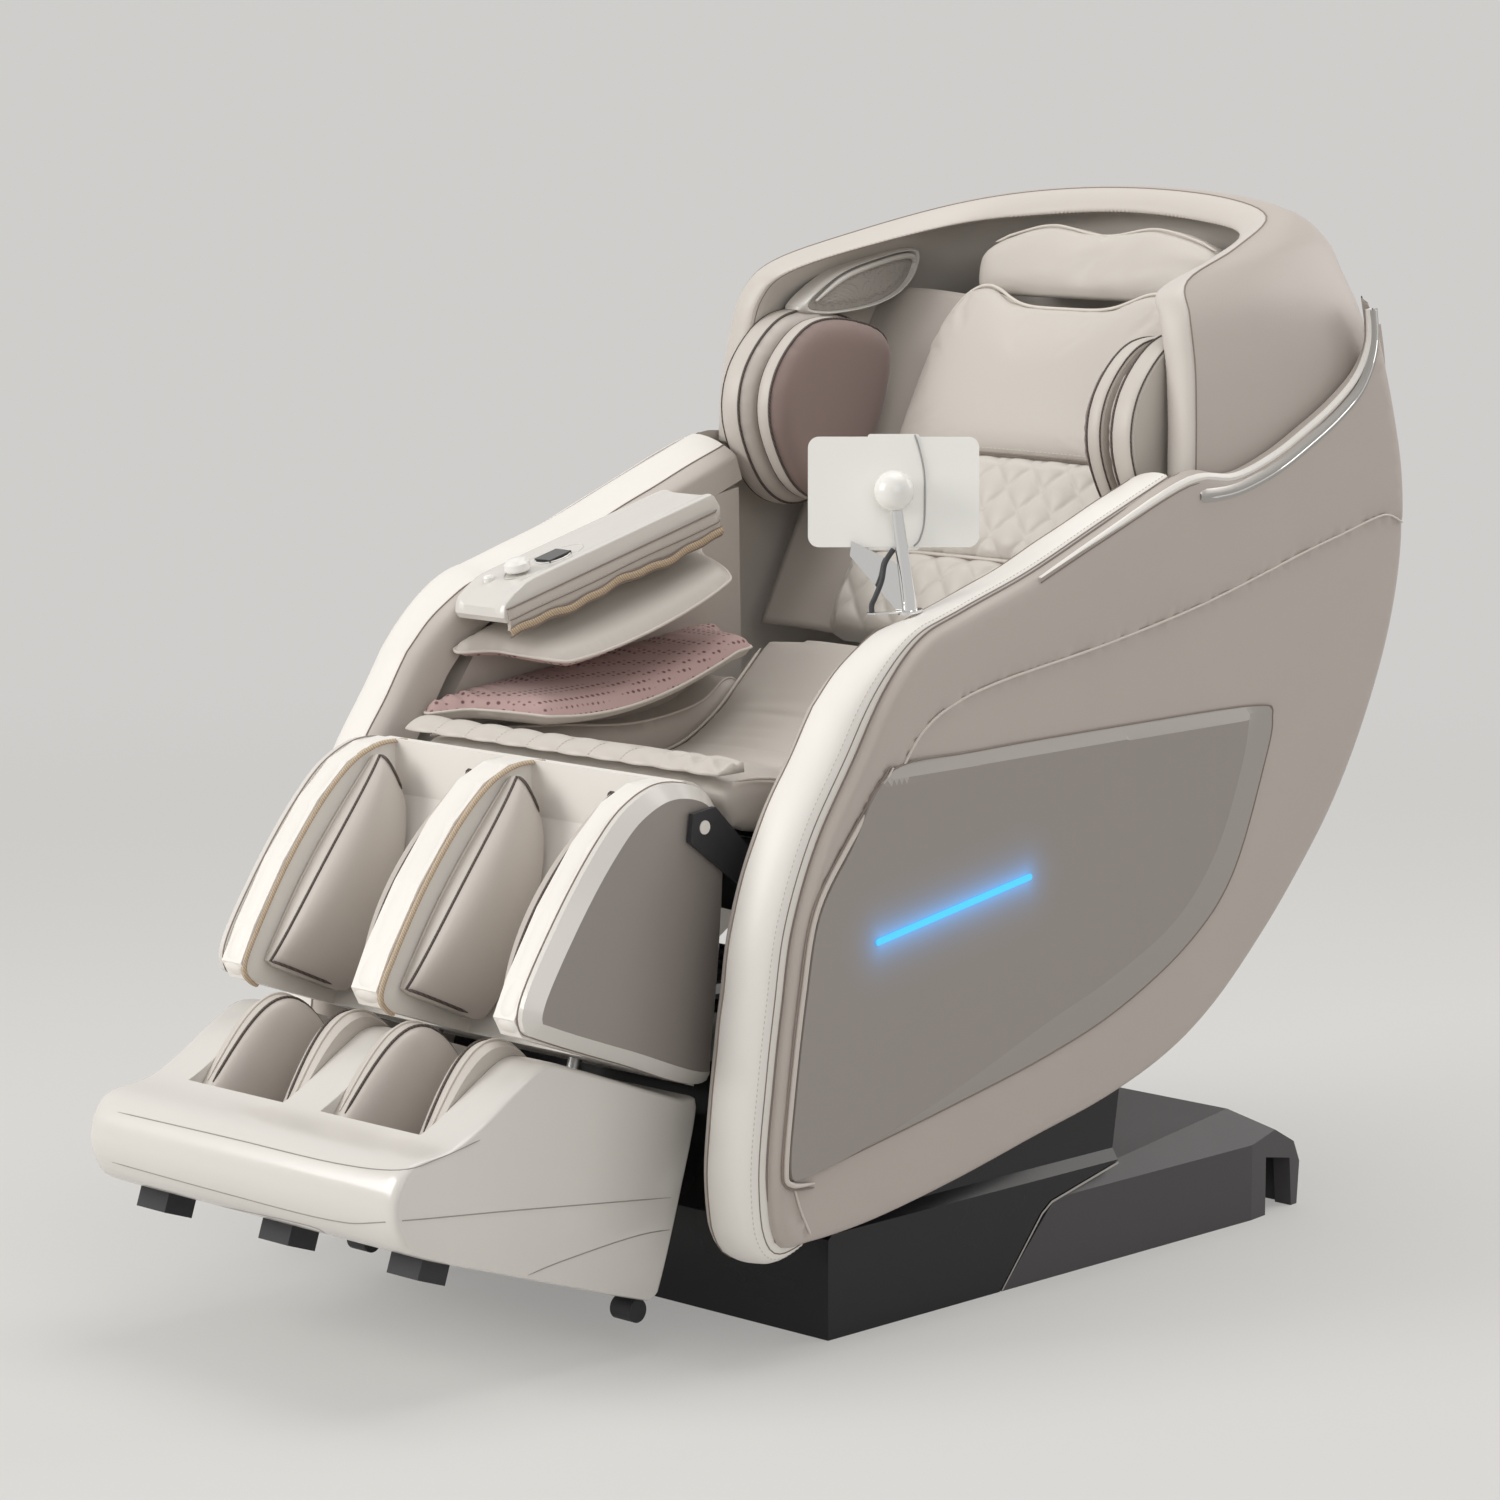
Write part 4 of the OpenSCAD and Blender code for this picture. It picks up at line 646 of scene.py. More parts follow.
def panel(name, side):
    body = relief(panel_loop, 8, panel_face, SKIN_X - 0.9, (1.2, 3.0), [PANEL_TOP[1:-1] - (0, BEVEL_W), PANEL_FOLD])
    flank, face = split(body, lambda m: beyond_fold(m[:, 1:])[1])
    bevel, face = split(face, lambda m: to_line(m[:, 1:], PANEL_TOP)[0] < BEVEL_W)
    # the bevel and the flank take the lighter copies of the panel's colour: painted light
    ob = piece(name, [(face, PANEL), (bevel, BEVEL), (flank, PANEL_FLANK_LIT)], "seat", sharp=4, side=side)
    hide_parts("side_panel_" + side)
    border = spline([[-176, 628], [-249, 550], [-296, 486], [-316, 400], [-332, 300], [-341, 222], [-334, 205],
                     [-300, 201]], 8)
    n = side_of(border)
    if to_line(border[20:21] + n[20:21], panel_loop, True)[2][0] == to_line(MIDDLE, panel_loop, True)[2][0]:
        n = -n
    lip = yz(border + n * 4.0, SKIN_X + 2.2)
    thick = np.concatenate([np.linspace(2, 7, 8), np.full(len(lip) - 16, 7), np.linspace(7, 2, 8)])
    # the dark cords round the panel are painted shade; the raised lip is painted lighter, a painted highlight
    parts = [(sweep(yz(closed(panel_loop), SKIN_X + 0.2), 2.0, 6), SEAM_SHADE), (sweep(lip, thick, 12, flat=0.9), LIP_HIGHLIT),
             (sweep(yz(border + n * 8.4, SKIN_X + 2.0), 2.4, 8, taper=True), SEAM_SHADE)]
    piece(name + "_edge", parts, "seat", side=side)


both(shell, "padded_shell")
both(panel, "inset_panel")

trim_line = spline([[336, 893], [400, 896], [470, 914], [531, 940], [588, 969], [630, 1000], [650, 1040],
                    [647, 1082]], 8)
strip_line = spline([[60, 814], [180, 857], [318, 903], [400, 902], [470, 920], [531, 946], [588, 975], [630, 1006],
                     [651, 1044], [650, 1084]], 6)


def trim(name, side):
    n = side_of(trim_line)
    mid = trim_line - n * 8.5
    strip = ribbon(yz(mid, SKIN_X), (1, 0, 0), 17 * dome((lengths(mid) + 2) / 16), 3.6, 0.6)
    ridge = yz(trim_line - n * 11, SKIN_X + 3.6)[3:]
    ob = piece(name, [(strip, SILVER), (sweep(ridge, 2.0, 8, taper=True), CHROME)], "seat",
               sharp=30, side=side)
    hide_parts("shell_trims")
    n = side_of(strip_line)
    width = np.concatenate([np.linspace(1, 9, 10), np.full(len(strip_line) - 10, 9)])
    # the dark cord beside the strip is painted shade
    parts = [(ribbon(yz(strip_line + n, SKIN_X - 1.4), (1, 0, 0), width, 3.4, 0.9), CREAM),
             (sweep(yz(strip_line - n * 5.2, SKIN_X + 0.8), 1.8, 6), SEAM_SHADE)]
    piece(name + "_strip", parts, "seat", side=side)


both(trim, "shell_trim")


# ---------------------------------------------------------------- padded bands along the arms' front edges
band_line = spline([[-300, 134]] + arm_front[:-1] + [[300, 905]], 8)
BAND_COLS, INNER_X = 22, 322


def band_rows():
    rows = []
    for k, (p, n) in enumerate(zip(band_line, side_of(band_line))):
        i = k / 4.0
        top = min(max((i - 15) / 4, 0), 1)
        out = 32 * min(1, 0.45 + i / 5) * (1 - 0.68 * top)
        row = []
        for c in range(BAND_COLS + 1):
            a = math.pi * c / BAND_COLS
            u = (1 - math.cos(a)) / 2
            q = p + (out * max(math.sin(a), 0) ** 0.55 - 22 * top * u * u) * n
            q = q + n * (0.5 * math.sin(k * 0.9) * math.exp(-((u - 0.8) / 0.12) ** 2))
            row.append((BAND_X - 76 * u, q[0], q[1]))
        r = p - 27 * n
        q = r - 22 * top * n
        rows.append(row + [(BAND_X - 76, q[0], q[1]), (BAND_X, r[0], r[1])])
    return np.array(rows)


def band(name, side):
    rows = band_rows()
    inner, rest = split(loft(rows), lambda m: m[:, 0] < INNER_X)
    ob = piece(name, [(rest, CREAM), (inner, TAUPE)], "seat", sharp=60, side=side)
    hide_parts("arm_band_" + side)
    n = yz(side_of(band_line), 0)
    k = int(np.argmin(abs(rows[0][:BAND_COLS + 1, 0] - INNER_X)))
    # the dark cords along the band are painted shade; the dashes are real stitches
    parts = [(sweep(rows[:, k] + n * 0.3, 1.8, 6), SEAM_SHADE), (sweep(rows[:, 1] + n * 0.1, 1.5, 6), SEAM_SHADE),
             (dashes(rows[:, 3] + n * 0.2, 6, 3.4, 1.0), THREAD)]
    piece(name + "_seams", parts, "seat", side=side)


both(band, "front_band")


# ---------------------------------------------------------------- padded forms with a gusset and piping
def gusset_pad(loop, x0, x1, crown, step, belly, radius, wrinkle=0.5):
    """A pad standing on the plane x0, its seam at x1, and its face crowned beyond it. Parts: gusset and face."""
    c = loop.mean(0)
    out = (loop - c) / np.linalg.norm(loop - c, axis=1, keepdims=True)
    rings = []
    for t in (0.0, 0.12, 0.35, 0.65, 0.88, 1.0):
        swell = belly * math.sin(math.pi * t) - (3.0 if t == 0 else 0)
        rings.append(yz(loop + out * swell, x0 + (x1 - x0) * t))
    gusset = loft(rings, caps=False)
    way = 1 if x1 > x0 else -1
    p, tris, d = fill_flat(loop, step)
    angle = np.arctan2(p[:, 1] - c[1], p[:, 0] - c[0])
    h = crown * dome(d / radius) + wrinkle * np.sin(angle * 23) * np.exp(-d / 7) * (d > 0.5)
    back = yz(c + (p - c) * 0.985, x0 + way * 0.5), [tuple(reversed(t)) for t in tris]
    return join(gusset, back), (yz(p, x1 + way * h), tris)


def closed_pipe(loop, x, d):
    return sweep(yz(loop, x), d, 8, closed=True)


# ---------------------------------------------------------------- shoulder pads
shoulder = outline([[300, 930], [312, 1000], [372, 1056], [450, 1062], [530, 1030], [520, 940], [470, 850],
                    [400, 822], [340, 852]], 8)
SHOULDER_C = np.array([420, 945.0])


def shoulder_pads(name, side):
    parts = []
    for size, x0, x1, crown, face_mat in ((0.985, 328.0, 298.0, 16.5, TAUPE), (0.915, 275.0, 254.0, 17.0, MAUVE)):
        loop = SHOULDER_C + (shoulder - SHOULDER_C) * size
        gusset, face = gusset_pad(loop, x0, x1, crown, 8, 2.0, 30)
        parts += [(gusset, LIGHT), (face, face_mat), (closed_pipe(loop, x1 - 0.5, 3.4), PIPE),
                  (closed_pipe(loop, x0 - 2, 2.2), PIPE)]
    ob = piece(name, parts, "back", sharp=48, side=side)
    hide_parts("shoulder_bags_" + side)


both(shoulder_pads, "shoulder_pads")


# ---------------------------------------------------------------- hood
hood_rows = [[[1, 352, 902], [0.995, 354, 965], [0.975, 360, 1030], [0.935, 368, 1086], [0.865, 396, 1124],
              [0.80, 514, 1156], [0.66, 640, 1188], [0.38, 686, 1207], [0, 694, 1214]],
             [[1, 500, 908], [0.995, 504, 975], [0.985, 508, 1045], [0.96, 510, 1096], [0.90, 530, 1134],
              [0.83, 610, 1164], [0.67, 682, 1192], [0.38, 714, 1208], [0, 720, 1214]],
             [[1, 640, 930], [0.995, 648, 985], [0.985, 652, 1040], [0.955, 655, 1088], [0.885, 668, 1128],
              [0.79, 698, 1156], [0.62, 724, 1172], [0.36, 738, 1180], [0, 742, 1184]],
             [[0.99, 694, 940], [0.97, 706, 984], [0.95, 708, 1022], [0.92, 710, 1054], [0.84, 720, 1076],
              [0.72, 728, 1072], [0.56, 730, 1062], [0.32, 731, 1058], [0, 731, 1056]]]
HOOD_HALF, WALL = 380.0, 40.0


def arch(row, w):
    """One row of the hood over both sides; w is how far in from the outer face."""
    a = [(-q[0], q[1], q[2]) for q in row] + [tuple(q) for q in row[-2::-1]]
    f = 1 - w / HOOD_HALF
    out = []
    for x, y, z in a:
        up = np.clip((0.99 - abs(x)) / 0.5, 0, 1) ** 0.6
        out.append((x * HOOD_HALF * f, y - w * 0.45 * up, z - w * 0.72 * up))
    return np.array(out)


RIM_N = 15           # points over the padded rim


def hood_skin():
    """Rows of points over the hood's section, from the outer rear edge over the rim to the inner rear edge."""
    outer = [spline(arch(r, 0), 6) for r in hood_rows]
    inner = [spline(arch(r, WALL), 6) for r in hood_rows]
    out, seam_out, seam_in = [], [], []
    for k in range(len(outer[0])):
        o = spline([outer[i][k] for i in (3, 2, 1, 0)], 8)
        n = spline([inner[i][k] for i in (0, 1, 2, 3)], 8)
        a, b = outer[0][k], inner[0][k]
        back = outer[1][k] - outer[0][k]
        fwd = -back / np.linalg.norm(back)
        rim = [a + (b - a) * (1 - math.cos(t)) / 2 + fwd * 9 * math.sin(t) ** 0.8
               for t in np.linspace(0.06, math.pi - 0.06, RIM_N)]
        out.append(np.vstack([o[:-1], a, rim, b, n[1:]]))
        seam_out.append(a + fwd * 0.3)
        seam_in.append(b + fwd * 0.3)
    return np.array(out), np.array(seam_out), np.array(seam_in), len(o)


rows, seam_out, seam_in, n_outer = hood_skin()
ROUND = ((0.72, -8.5), (0.90, -6.5), (0.975, -3))      # how the hood's lower ends round off: size and drop


def end_cap(row, steps):
    return [row.mean(0) + (row - row.mean(0)) * s + (0, 0, dz) for s, dz in steps]


hood_rings = end_cap(rows[0], ROUND) + list(rows) + end_cap(rows[-1], ROUND[::-1])
hood_geo = loft(hood_rings)
cols = rows.shape[1]
skin, liner, rim_faces = [], [], []
for i, q in enumerate(hood_geo[1]):
    cap = i >= (len(hood_rings) - 1) * cols
    c = 0 if cap else i % cols
    if n_outer - 1 <= c <= n_outer + RIM_N and not cap:
        rim_faces.append(q)
    elif c < n_outer or c == cols - 1:
        skin.append(q)
    else:
        liner.append(q)
hood = piece("padded_hood", [((hood_geo[0], skin), SIDE), ((hood_geo[0], rim_faces), RIM),
                             ((hood_geo[0], liner), LIGHT)], "back", sharp=60)
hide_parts("hood")
# the dark cords along the hood's seams and lower edges are painted shade; the dashes are real stitches
lines = [(sweep(seam_out, 2.2, 8), SEAM_SHADE), (dashes(rows[:, n_outer + 13][40:60], 6, 3.6, 1.1), THREAD),
         (sweep(seam_in, 1.6, 8), SEAM_SHADE), (dashes(rows[:, n_outer + 12], 6.5, 3.8, 1.1), THREAD)]
lines += [(sweep(e[:n_outer] + (0, 0, -1.5), 3.0, 8), SEAM_SHADE) for e in (rows[0], rows[-1])]
piece("hood_seams", lines, "back")

# ---------------------------------------------------------------- rear cover of the back
cover_line = even(spline([[741, 1062], [752, 1010], [765, 900], [760, 800], [735, 700], [690, 610], [630, 530],
                          [580, 480]], 8), 12)
xs = np.concatenate([np.linspace(-1, -0.86, 8), np.linspace(-0.8, 0.8, 33), np.linspace(0.86, 1, 8)])
COVER_SEAM = 0.62


def cover_rows():
    top, low = [], []
    under = cover_line - 8 * side_of(cover_line)
    k = np.arange(len(cover_line))
    for s in xs:
        pull = np.interp(abs(s), [0, 0.6, 0.92, 1], [0, 0, 11, 31])
        groove = 2.0 * math.exp(-((abs(s) - COVER_SEAM) / 0.012) ** 2)
        d = pull + groove + 1.6 * bump_at(k - len(k) * 0.36, 1.1)
        top.append(np.column_stack([np.full(len(d), s * 370), cover_line[:, 0] - d, cover_line[:, 1]]))
        low.append(yz(under - (pull + 2, 0), s * 369))
    return top, low


top_rows, low_rows = cover_rows()
cover = piece("rear_shell", [(slab(top_rows, low_rows), SIDE)], "back", sharp=50)
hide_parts("back_cover")
seams = []
for s in (-COVER_SEAM, COVER_SEAM):
    row = top_rows[int(np.argmin(abs(xs - s)))]
    # dark cord of painted shade in the seam's groove
    seams.append((sweep(row + (0, -0.4, 0), 1.6, 6), SEAM_SHADE))
    seams += [(dashes(row[2:-2] + (o, 0.4, 0), 7, 4, 1.1), THREAD) for o in (-5, 5)]
piece("rear_shell_seams", seams, "back")


# ---------------------------------------------------------------- liner between the back pads and the hood
def side_liner(name, side):
    rows = []
    for z in np.linspace(-96, 372, 50):
        row = []
        for t in np.linspace(0, 1, 22):
            sag = math.sin(math.pi * t)
            fold = 2.2 * sag * math.sin(z / 24 + 5 * t) * math.exp(-((z - 60) / 130) ** 2)
            row.append((196 + 142 * t, 62 - 10 * sag - 14 * t ** 3 + fold, z))
        rows.append(on_back(np.vstack([row, np.array(row[::-1]) + (0, 2.4, 0)])))
    piece(name, [(loft(rows), TAUPE)], "back", sharp=0, side=side)


both(side_liner, "side_liner")


# ---------------------------------------------------------------- speakers in the hood
speaker = outline([[402, 1068], [470, 1108], [556, 1128], [612, 1134], [626, 1124], [612, 1096], [578, 1074],
                   [520, 1060], [440, 1056]], 4, 8)
SPEAKER_C = np.array([530, 1094.0])


def speaker_pod(name, side):
    def ring(s):
        return SPEAKER_C + (speaker - SPEAKER_C) * s
    body = loft([yz(ring(s), x) for s, x in ((1.0, 315), (1.0, 296), (0.985, 291), (0.94, 288), (0.90, 288.5),
                                             (0.88, 292), (0.87, 295))], caps=False)

    def face(p, d):
        ang = np.arctan2(p[:, 1] - 1096, p[:, 0] - 560)
        return 294.6 - 1.0 * np.cos(ang * 70) ** 2 * np.clip(d / 4, 0, 1) - 2.5 * np.clip(d / 14, 0, 1)
    lid = spline([[430, 1074], [484, 1102], [556, 1119], [602, 1124], [614, 1116]], 8)
    brow = sweep(yz(lid, 289.5), np.interp(np.linspace(0, 1, len(lid)), [0, 0.2, 0.8, 1], [4, 9, 9, 4]), 12, flat=0.8)
    ob = piece(name, [(body, GLOSS), (relief(ring(0.88) + (0, -1.0), 2.4, face, 296), GRILLE), (brow, GLOSS)],
               "back", sharp=40, side=side)
    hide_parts("speaker_" + side)


both(speaker_pod, "speaker_pod")


# ---------------------------------------------------------------- pads of the back
QUILT_HALF, QUILT_A, QUILT_B = 202, 27.0, 31.0       # half width of the pads, half sizes of a diamond


def pad_side(x):
    """How far a quilted pad's front falls back towards its sides."""
    return np.interp(abs(x) / QUILT_HALF, [0, 0.5, 0.9, 1], [0, 0.06, 0.35, 1]) * 26


def pad_front(x, z, z0, z1):
    return pad_side(x) + (1 - dome(np.minimum(z - z0, z1 - z) / 24)) * 16 + 2.0


def quilted_pad(name, z0, z1, node):
    X, Z = np.meshgrid(np.linspace(-1, 1, 150) * QUILT_HALF, np.linspace(z0, z1, max(int((z1 - z0) / 2.6), 20)),
                       indexing="ij")
    u, v = X / (2 * QUILT_A) + Z / (2 * QUILT_B), X / (2 * QUILT_A) - Z / (2 * QUILT_B)
    Y = pad_front(X, Z, z0, z1) - 7.0 * (np.abs(np.sin(math.pi * u)) * np.abs(np.sin(math.pi * v))) ** 0.42
    front = [on_back(np.column_stack(q)) for q in zip(X, Y, Z)]
    rear = [on_back(np.column_stack([x, np.full(len(z), 60), z])) for x, z in zip(X, Z)]
    ob = piece(name, [(slab(front, rear), QUILT)], "back", sharp=70)
    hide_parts(node)
    rows = []
    z = np.linspace(z0 + 6, z1 - 6, 40)
    for k in range(-9, 10):
        for s in (1, -1):
            x = k * 2 * QUILT_A - s * z * QUILT_A / QUILT_B
            ok = abs(x) < 184
            if ok.sum() >= 6:
                groove = np.column_stack([x, pad_front(x, z, z0, z1) - 0.5, z])[ok]
                rows.append(dashes(on_back(groove), 6.5, 3.6, 0.9))
    piece(name + "_stitches", [(join(*rows), THREAD)], "back")


quilted_pad("quilted_lower_back", -103, 3, "lower_back_pad")
quilted_pad("quilted_lumbar", 5, 138, "lumbar_pad")

PAD_HALF, PAD_LOW, PAD_TOP = 193, 141, 344


def pad_edge(s):
    return np.interp(abs(s), [0, 0.5, 0.85, 0.96, 1], [0, 0.04, 0.3, 0.62, 1])


def pad_hump(s):
    """Rounded ears at both ends of the head pad's top edge."""
    return 27 * math.exp(-((abs(s) - 0.70) / 0.24) ** 2) - 40 * max(0, (abs(s) - 0.80) / 0.20) ** 2 - 4


def back_pad_form():
    rings = []
    for s in np.linspace(-1, 1, 41):
        e = pad_edge(s)
        top = PAD_TOP + pad_hump(s)
        loop = []
        for a in np.arange(30) * 2 * math.pi / 30:
            c, d = math.cos(a), math.sin(a)
            y = 31 + 8 * e - (29 - 6 * e) * np.sign(c) * abs(c) ** 0.55
            loop.append((PAD_HALF * s, y, (PAD_LOW + top) / 2 + (top - PAD_LOW) / 2 * np.sign(d) * abs(d) ** 0.42))
        rings.append(on_back(np.array(loop)))
    return loft(rings)


def back_pin(v):
    local = off(v, BACK_AT, BACK_LEAN)
    return np.maximum(np.clip((local[:, 1] - 34) / 10, 0, 1), np.clip((148 - local[:, 2]) / 5, 0, 1))


pad = puff(back_pad_form(), back_pin, 3.5, 9, 6, 18)
back_pad = piece("head_back_pad", [(pad, LIGHT)], "back", sharp=0, subdiv=1)
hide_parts("back_pad")
edge = [(PAD_HALF * s, 22 + 6 * pad_edge(s), PAD_TOP + pad_hump(s) + 1.5) for s in np.linspace(-0.985, 0.985, 60)]
side_l = [(-PAD_HALF - 0.5, 34, z) for z in np.linspace(150, 300, 24)]
side_r = [(PAD_HALF + 0.5, 34, z) for z in np.linspace(300, 150, 24)]
piping = on_back(spline(np.array(side_l[::3] + edge[::3] + side_r[::3]), 4))
low_seam, lum_seam = [on_back(np.array([(x, pad_side(x) + dy, z) for x in np.linspace(-198, 198, 60)]))
                      for dy, z in ((6, 140), (8, 4))]
# the dark cords at the lower seam and under the lumbar piping are painted shade
piece("back_piping", [(sweep(piping, 4.2, 10), EDGE), (sweep(low_seam, 3.0, 8), SEAM_SHADE),
                      (dashes(low_seam + (0, -3.0, 6), 6.5, 3.8, 1.1), THREAD),
                      (sweep(lum_seam, 4.6, 10), EDGE), (sweep(lum_seam + (0, -0.4, -3.2), 2.2, 8), SEAM_SHADE)],
      "back")


# ---------------------------------------------------------------- head pillow
PILLOW_LOW = 1092


def pillow_end(s):
    return np.interp(abs(s), [0, 0.4, 0.85, 1], [0, 0, 0.4, 1])


def pillow_wave(s):
    return 5.5 * math.cos(s * 2 * math.pi * 1.05 + math.pi) - 2.5


def pillow_form():
    rings = []
    for s in np.linspace(-1, 1, 49):
        e, wave = pillow_end(s), pillow_wave(s)
        pts = [[590 + 4 * e, PILLOW_LOW], [577 + 10 * e, 1112], [582 + 8 * e, 1138 - 6 * e + wave * 0.5],
               [602, 1156 - 12 * e + wave], [627, 1159 - 14 * e + wave], [645 - 4 * e, 1146 - 10 * e + wave * 0.5],
               [639 - 8 * e, 1120], [622 - 6 * e, 1097]]
        loop = spline(np.array(pts)[::-1], 4, True)
        c = loop.mean(0)
        rings.append(yz(c + (loop - c) * (1 - 0.3 * max(0, (abs(s) - 0.94) / 0.06)), s * 188))
    return loft(rings)


def pillow_place(p):
    """The pillow's top lies back against the hood's inner wall."""
    up = np.clip((p[:, 2] - PILLOW_LOW) / 60, 0, 1)
    return p + np.column_stack([np.zeros(len(p)), 20 + 16 * up, -12 + 16 * up])


v, faces = puff(pillow_form(), lambda v: np.clip((1100 - v[:, 2]) / 6, 0, 1), 3.0, 5, 5, 18, bend=0.2)
v[:, 1] += (1.9 * np.sin(v[:, 0] / 11 + 2.2 * np.sin(v[:, 2] / 19)) * bump_at(v[:, 0] - 8, 60)
            + 1.4 * np.sin(v[:, 0] / 26 - v[:, 2] / 9)) * np.clip((v[:, 2] - 1096) / 30, 0, 1)
pillow = piece("head_pillow_soft", [((pillow_place(v), faces), LIGHT)], "pillow", sharp=0, subdiv=1)
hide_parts("head_pillow")
crest = pillow_place(np.array([(s * 182, 604 + 2 * abs(s), 1161 - 12 * pillow_end(s) + pillow_wave(s))
                               for s in np.linspace(-0.97, 0.97, 50)]))
piece("pillow_piping", [(sweep(crest, 3.2, 8, taper=True), EDGE)], "pillow")


# ---------------------------------------------------------------- console on the right arm
def console_ring(x, grow, low):
    q = np.array([[10, 0], [342, 0], [358, 3], [371, 12], [372, 22], [366, 37], [362, 40], [60, 40], [44, 38.8],
                  [24, 33], [8, 26], [3, 20], [0, 10], [3, 3]], float)
    c = (186, 20)
    q = q + (c - q) / np.linalg.norm(c - q, axis=1, keepdims=True) * grow
    q[:, 1] -= low * (q[:, 1] > 25)
    return on_arm(yz(q, x))


stations = [(-305.8, 3, 0), (-304, 1, 0), (-300, 0, 0), (-296, 0, 0), (-292, 0, 1.6), (-286, 0, 2.4), (-250, 0, 2.6),
            (-240, 0, 2.4), (-233, 0, 1.2), (-228, 0, 0), (-223, 0, 0), (-220.6, 1, 0.6), (-219.6, 3, 2)]
top, low = split(loft([console_ring(*s) for s in stations]),
                 lambda m: (off(m, ARM_AT, ARM_LEAN)[:, 2] > 15) | (off(m, ARM_AT, ARM_LEAN)[:, 1] < 6))
console = piece("arm_console", [(top, GLOSS), (low, GLOSS)], "seat", sharp=30)
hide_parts("console")
# leather side of the console with its seams, and the zip below it
skirt_rows = []
for u in 6 + 366 * np.linspace(0, 1, 90):
    bend = 12 * max(0, (u - 356) / 16) ** 2 + 6 * max(0, (14 - u) / 14) ** 2
    skirt_rows.append(on_arm(np.array([(-218.0 + 2.6 * math.sin(math.pi * k) ** 0.7 - bend, u,
                                        19 - 27 * k + 1.2 * math.sin(u / 29) * k) for k in np.linspace(0, 1, 9)])))
skirt = slab(skirt_rows, [r - (5, 0, 0) for r in skirt_rows])
line1 = np.array([r[0] + (1.0, 0, 0) for r in skirt_rows])
line2 = np.array([r[4] + (0.4, 0, 0) for r in skirt_rows])
zip_line = on_arm(np.array([(-215.5 - 10 * max(0, (u - 350) / 22) ** 2, u,
                             -9 + 2.2 * math.sin(u / 24) + 1.2 * math.sin(u / 9)) for u in np.linspace(2, 372, 110)]))
# the dark cords along the skirt and beside the zip are painted shade
parts = [(skirt, TAUPE), (sweep(line1, 1.8, 6), SEAM_SHADE), (sweep(line2, 1.2, 6), SEAM_SHADE),
         (dashes(line2 + (0.4, 0, 3), 6, 3.6, 1.0), THREAD),
         (ribbon(zip_line, (1, 0, 0.1), 8.5, 2.6, 0.8), ZIP), (sweep(zip_line + (2.2, 0, 0), 1.6, 6), THREAD),
         (sweep(zip_line + (0.5, 0, -5.4), 2.4, 8), SEAM_SHADE), (sweep(zip_line + (0.5, 0, 5.2), 1.4, 8), SEAM_SHADE)]
piece("console_skirt", parts, "seat")


def display_ring(n, rx, ry, y, z):
    return on_arm(np.array([(-260 + rx * math.cos(a), y + ry * math.sin(a), z)
                            for a in np.linspace(0, 2 * math.pi, n)[:-1]]))


piece("display_rim", [(sweep(display_ring(60, 17, 24, 128, 38.2), 1.6, 8, closed=True), WHITE),
                      (sweep(display_ring(80, 24, 62, 112, 37.6), 1.3, 8, closed=True), GLOSS)], "seat")


# ---------------------------------------------------------------- lens-shaped cushions, such as the forearm bags
def lens(loop, top, bottom, step, radius, ribs=None):
    """Upper and lower halves over a flat outline; the third number of a point is its height."""
    p, tris, d = fill_flat(loop, step)
    h = dome(d / radius)
    extra = ribs(p, d) if ribs else 0
    return ((np.column_stack([p, top * h + extra]), tris),
            (np.column_stack([p, -bottom * h]), [tuple(reversed(q)) for q in tris]),
            np.column_stack([loop, np.zeros(len(loop))]))


ARM_X = 305          # inner face of the arm's core


def bag_loop(x0, u0, u1, cut):
    """Plan outline [x, u]: against the arm at x1, free at x0, with slanting ends."""
    x1 = ARM_X
    p = [[x1, u0 + 2], [x1 + 0.1, u1 - 2], [x1 - (x1 - x0) * 0.45, u1], [x0 + 12, u1 - 12], [x0, u1 - 44],
         [x0 - 1, (u0 + u1) / 2], [x0, u0 + cut + 30], [x0 + 10, u0 + cut], [x1 - (x1 - x0) * 0.4, u0 + cut * 0.3]]
    return even(spline(np.array(p, float), 6, True), 5, True)[::-1]


def hang(v, drop, tilt, wave):
    """The free inner side of a bag hangs lower than the side at the arm."""
    w = np.clip((ARM_X - v[:, 0]) / 110, 0, 1.1)
    down = drop + tilt * w + wave * w * np.sin(math.pi * np.clip(v[:, 1] / 380, 0, 1))
    return v - np.column_stack([np.zeros((len(v), 2)), down])


def forearm_bags(name, side):
    free = 0 if side == "right" else 16       # the bags by the console hang further into the seat

    def ribs(p, d):
        return 1.9 * np.cos(p[:, 1] * 2 * math.pi / 19) * np.clip((p[:, 0] - 250) / 30, 0, 1) * np.clip(d / 6, 0, 1)
    parts = []
    for (a, b, rim), place, mats, d in (
            (lens(bag_loop(192 + free, 2, 362 - free, 50), 13, 14, 7, 34),
             lambda v: on_arm(hang(v, 29, 26, 16)), (LIGHT, PINK), 4.0),
            (lens(bag_loop(188 + free, -8 + free, 424 - 2 * free, 60), 19, 17, 6, 42, ribs),
             lambda v: placed(hang(v, -26, 0, 26), (0, -188, 602), 6), (PINK, TAUPE), 3.4)):
        parts += [((place(g[0]), g[1]), m) for g, m in zip((a, b), mats)]
        parts.append((sweep(place(rim), d, 10, closed=True), EDGE))
    ob = piece(name, parts, "seat", sharp=50, side=side)
    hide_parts("forearm_bags_" + side)


both(forearm_bags, "forearm_bags")

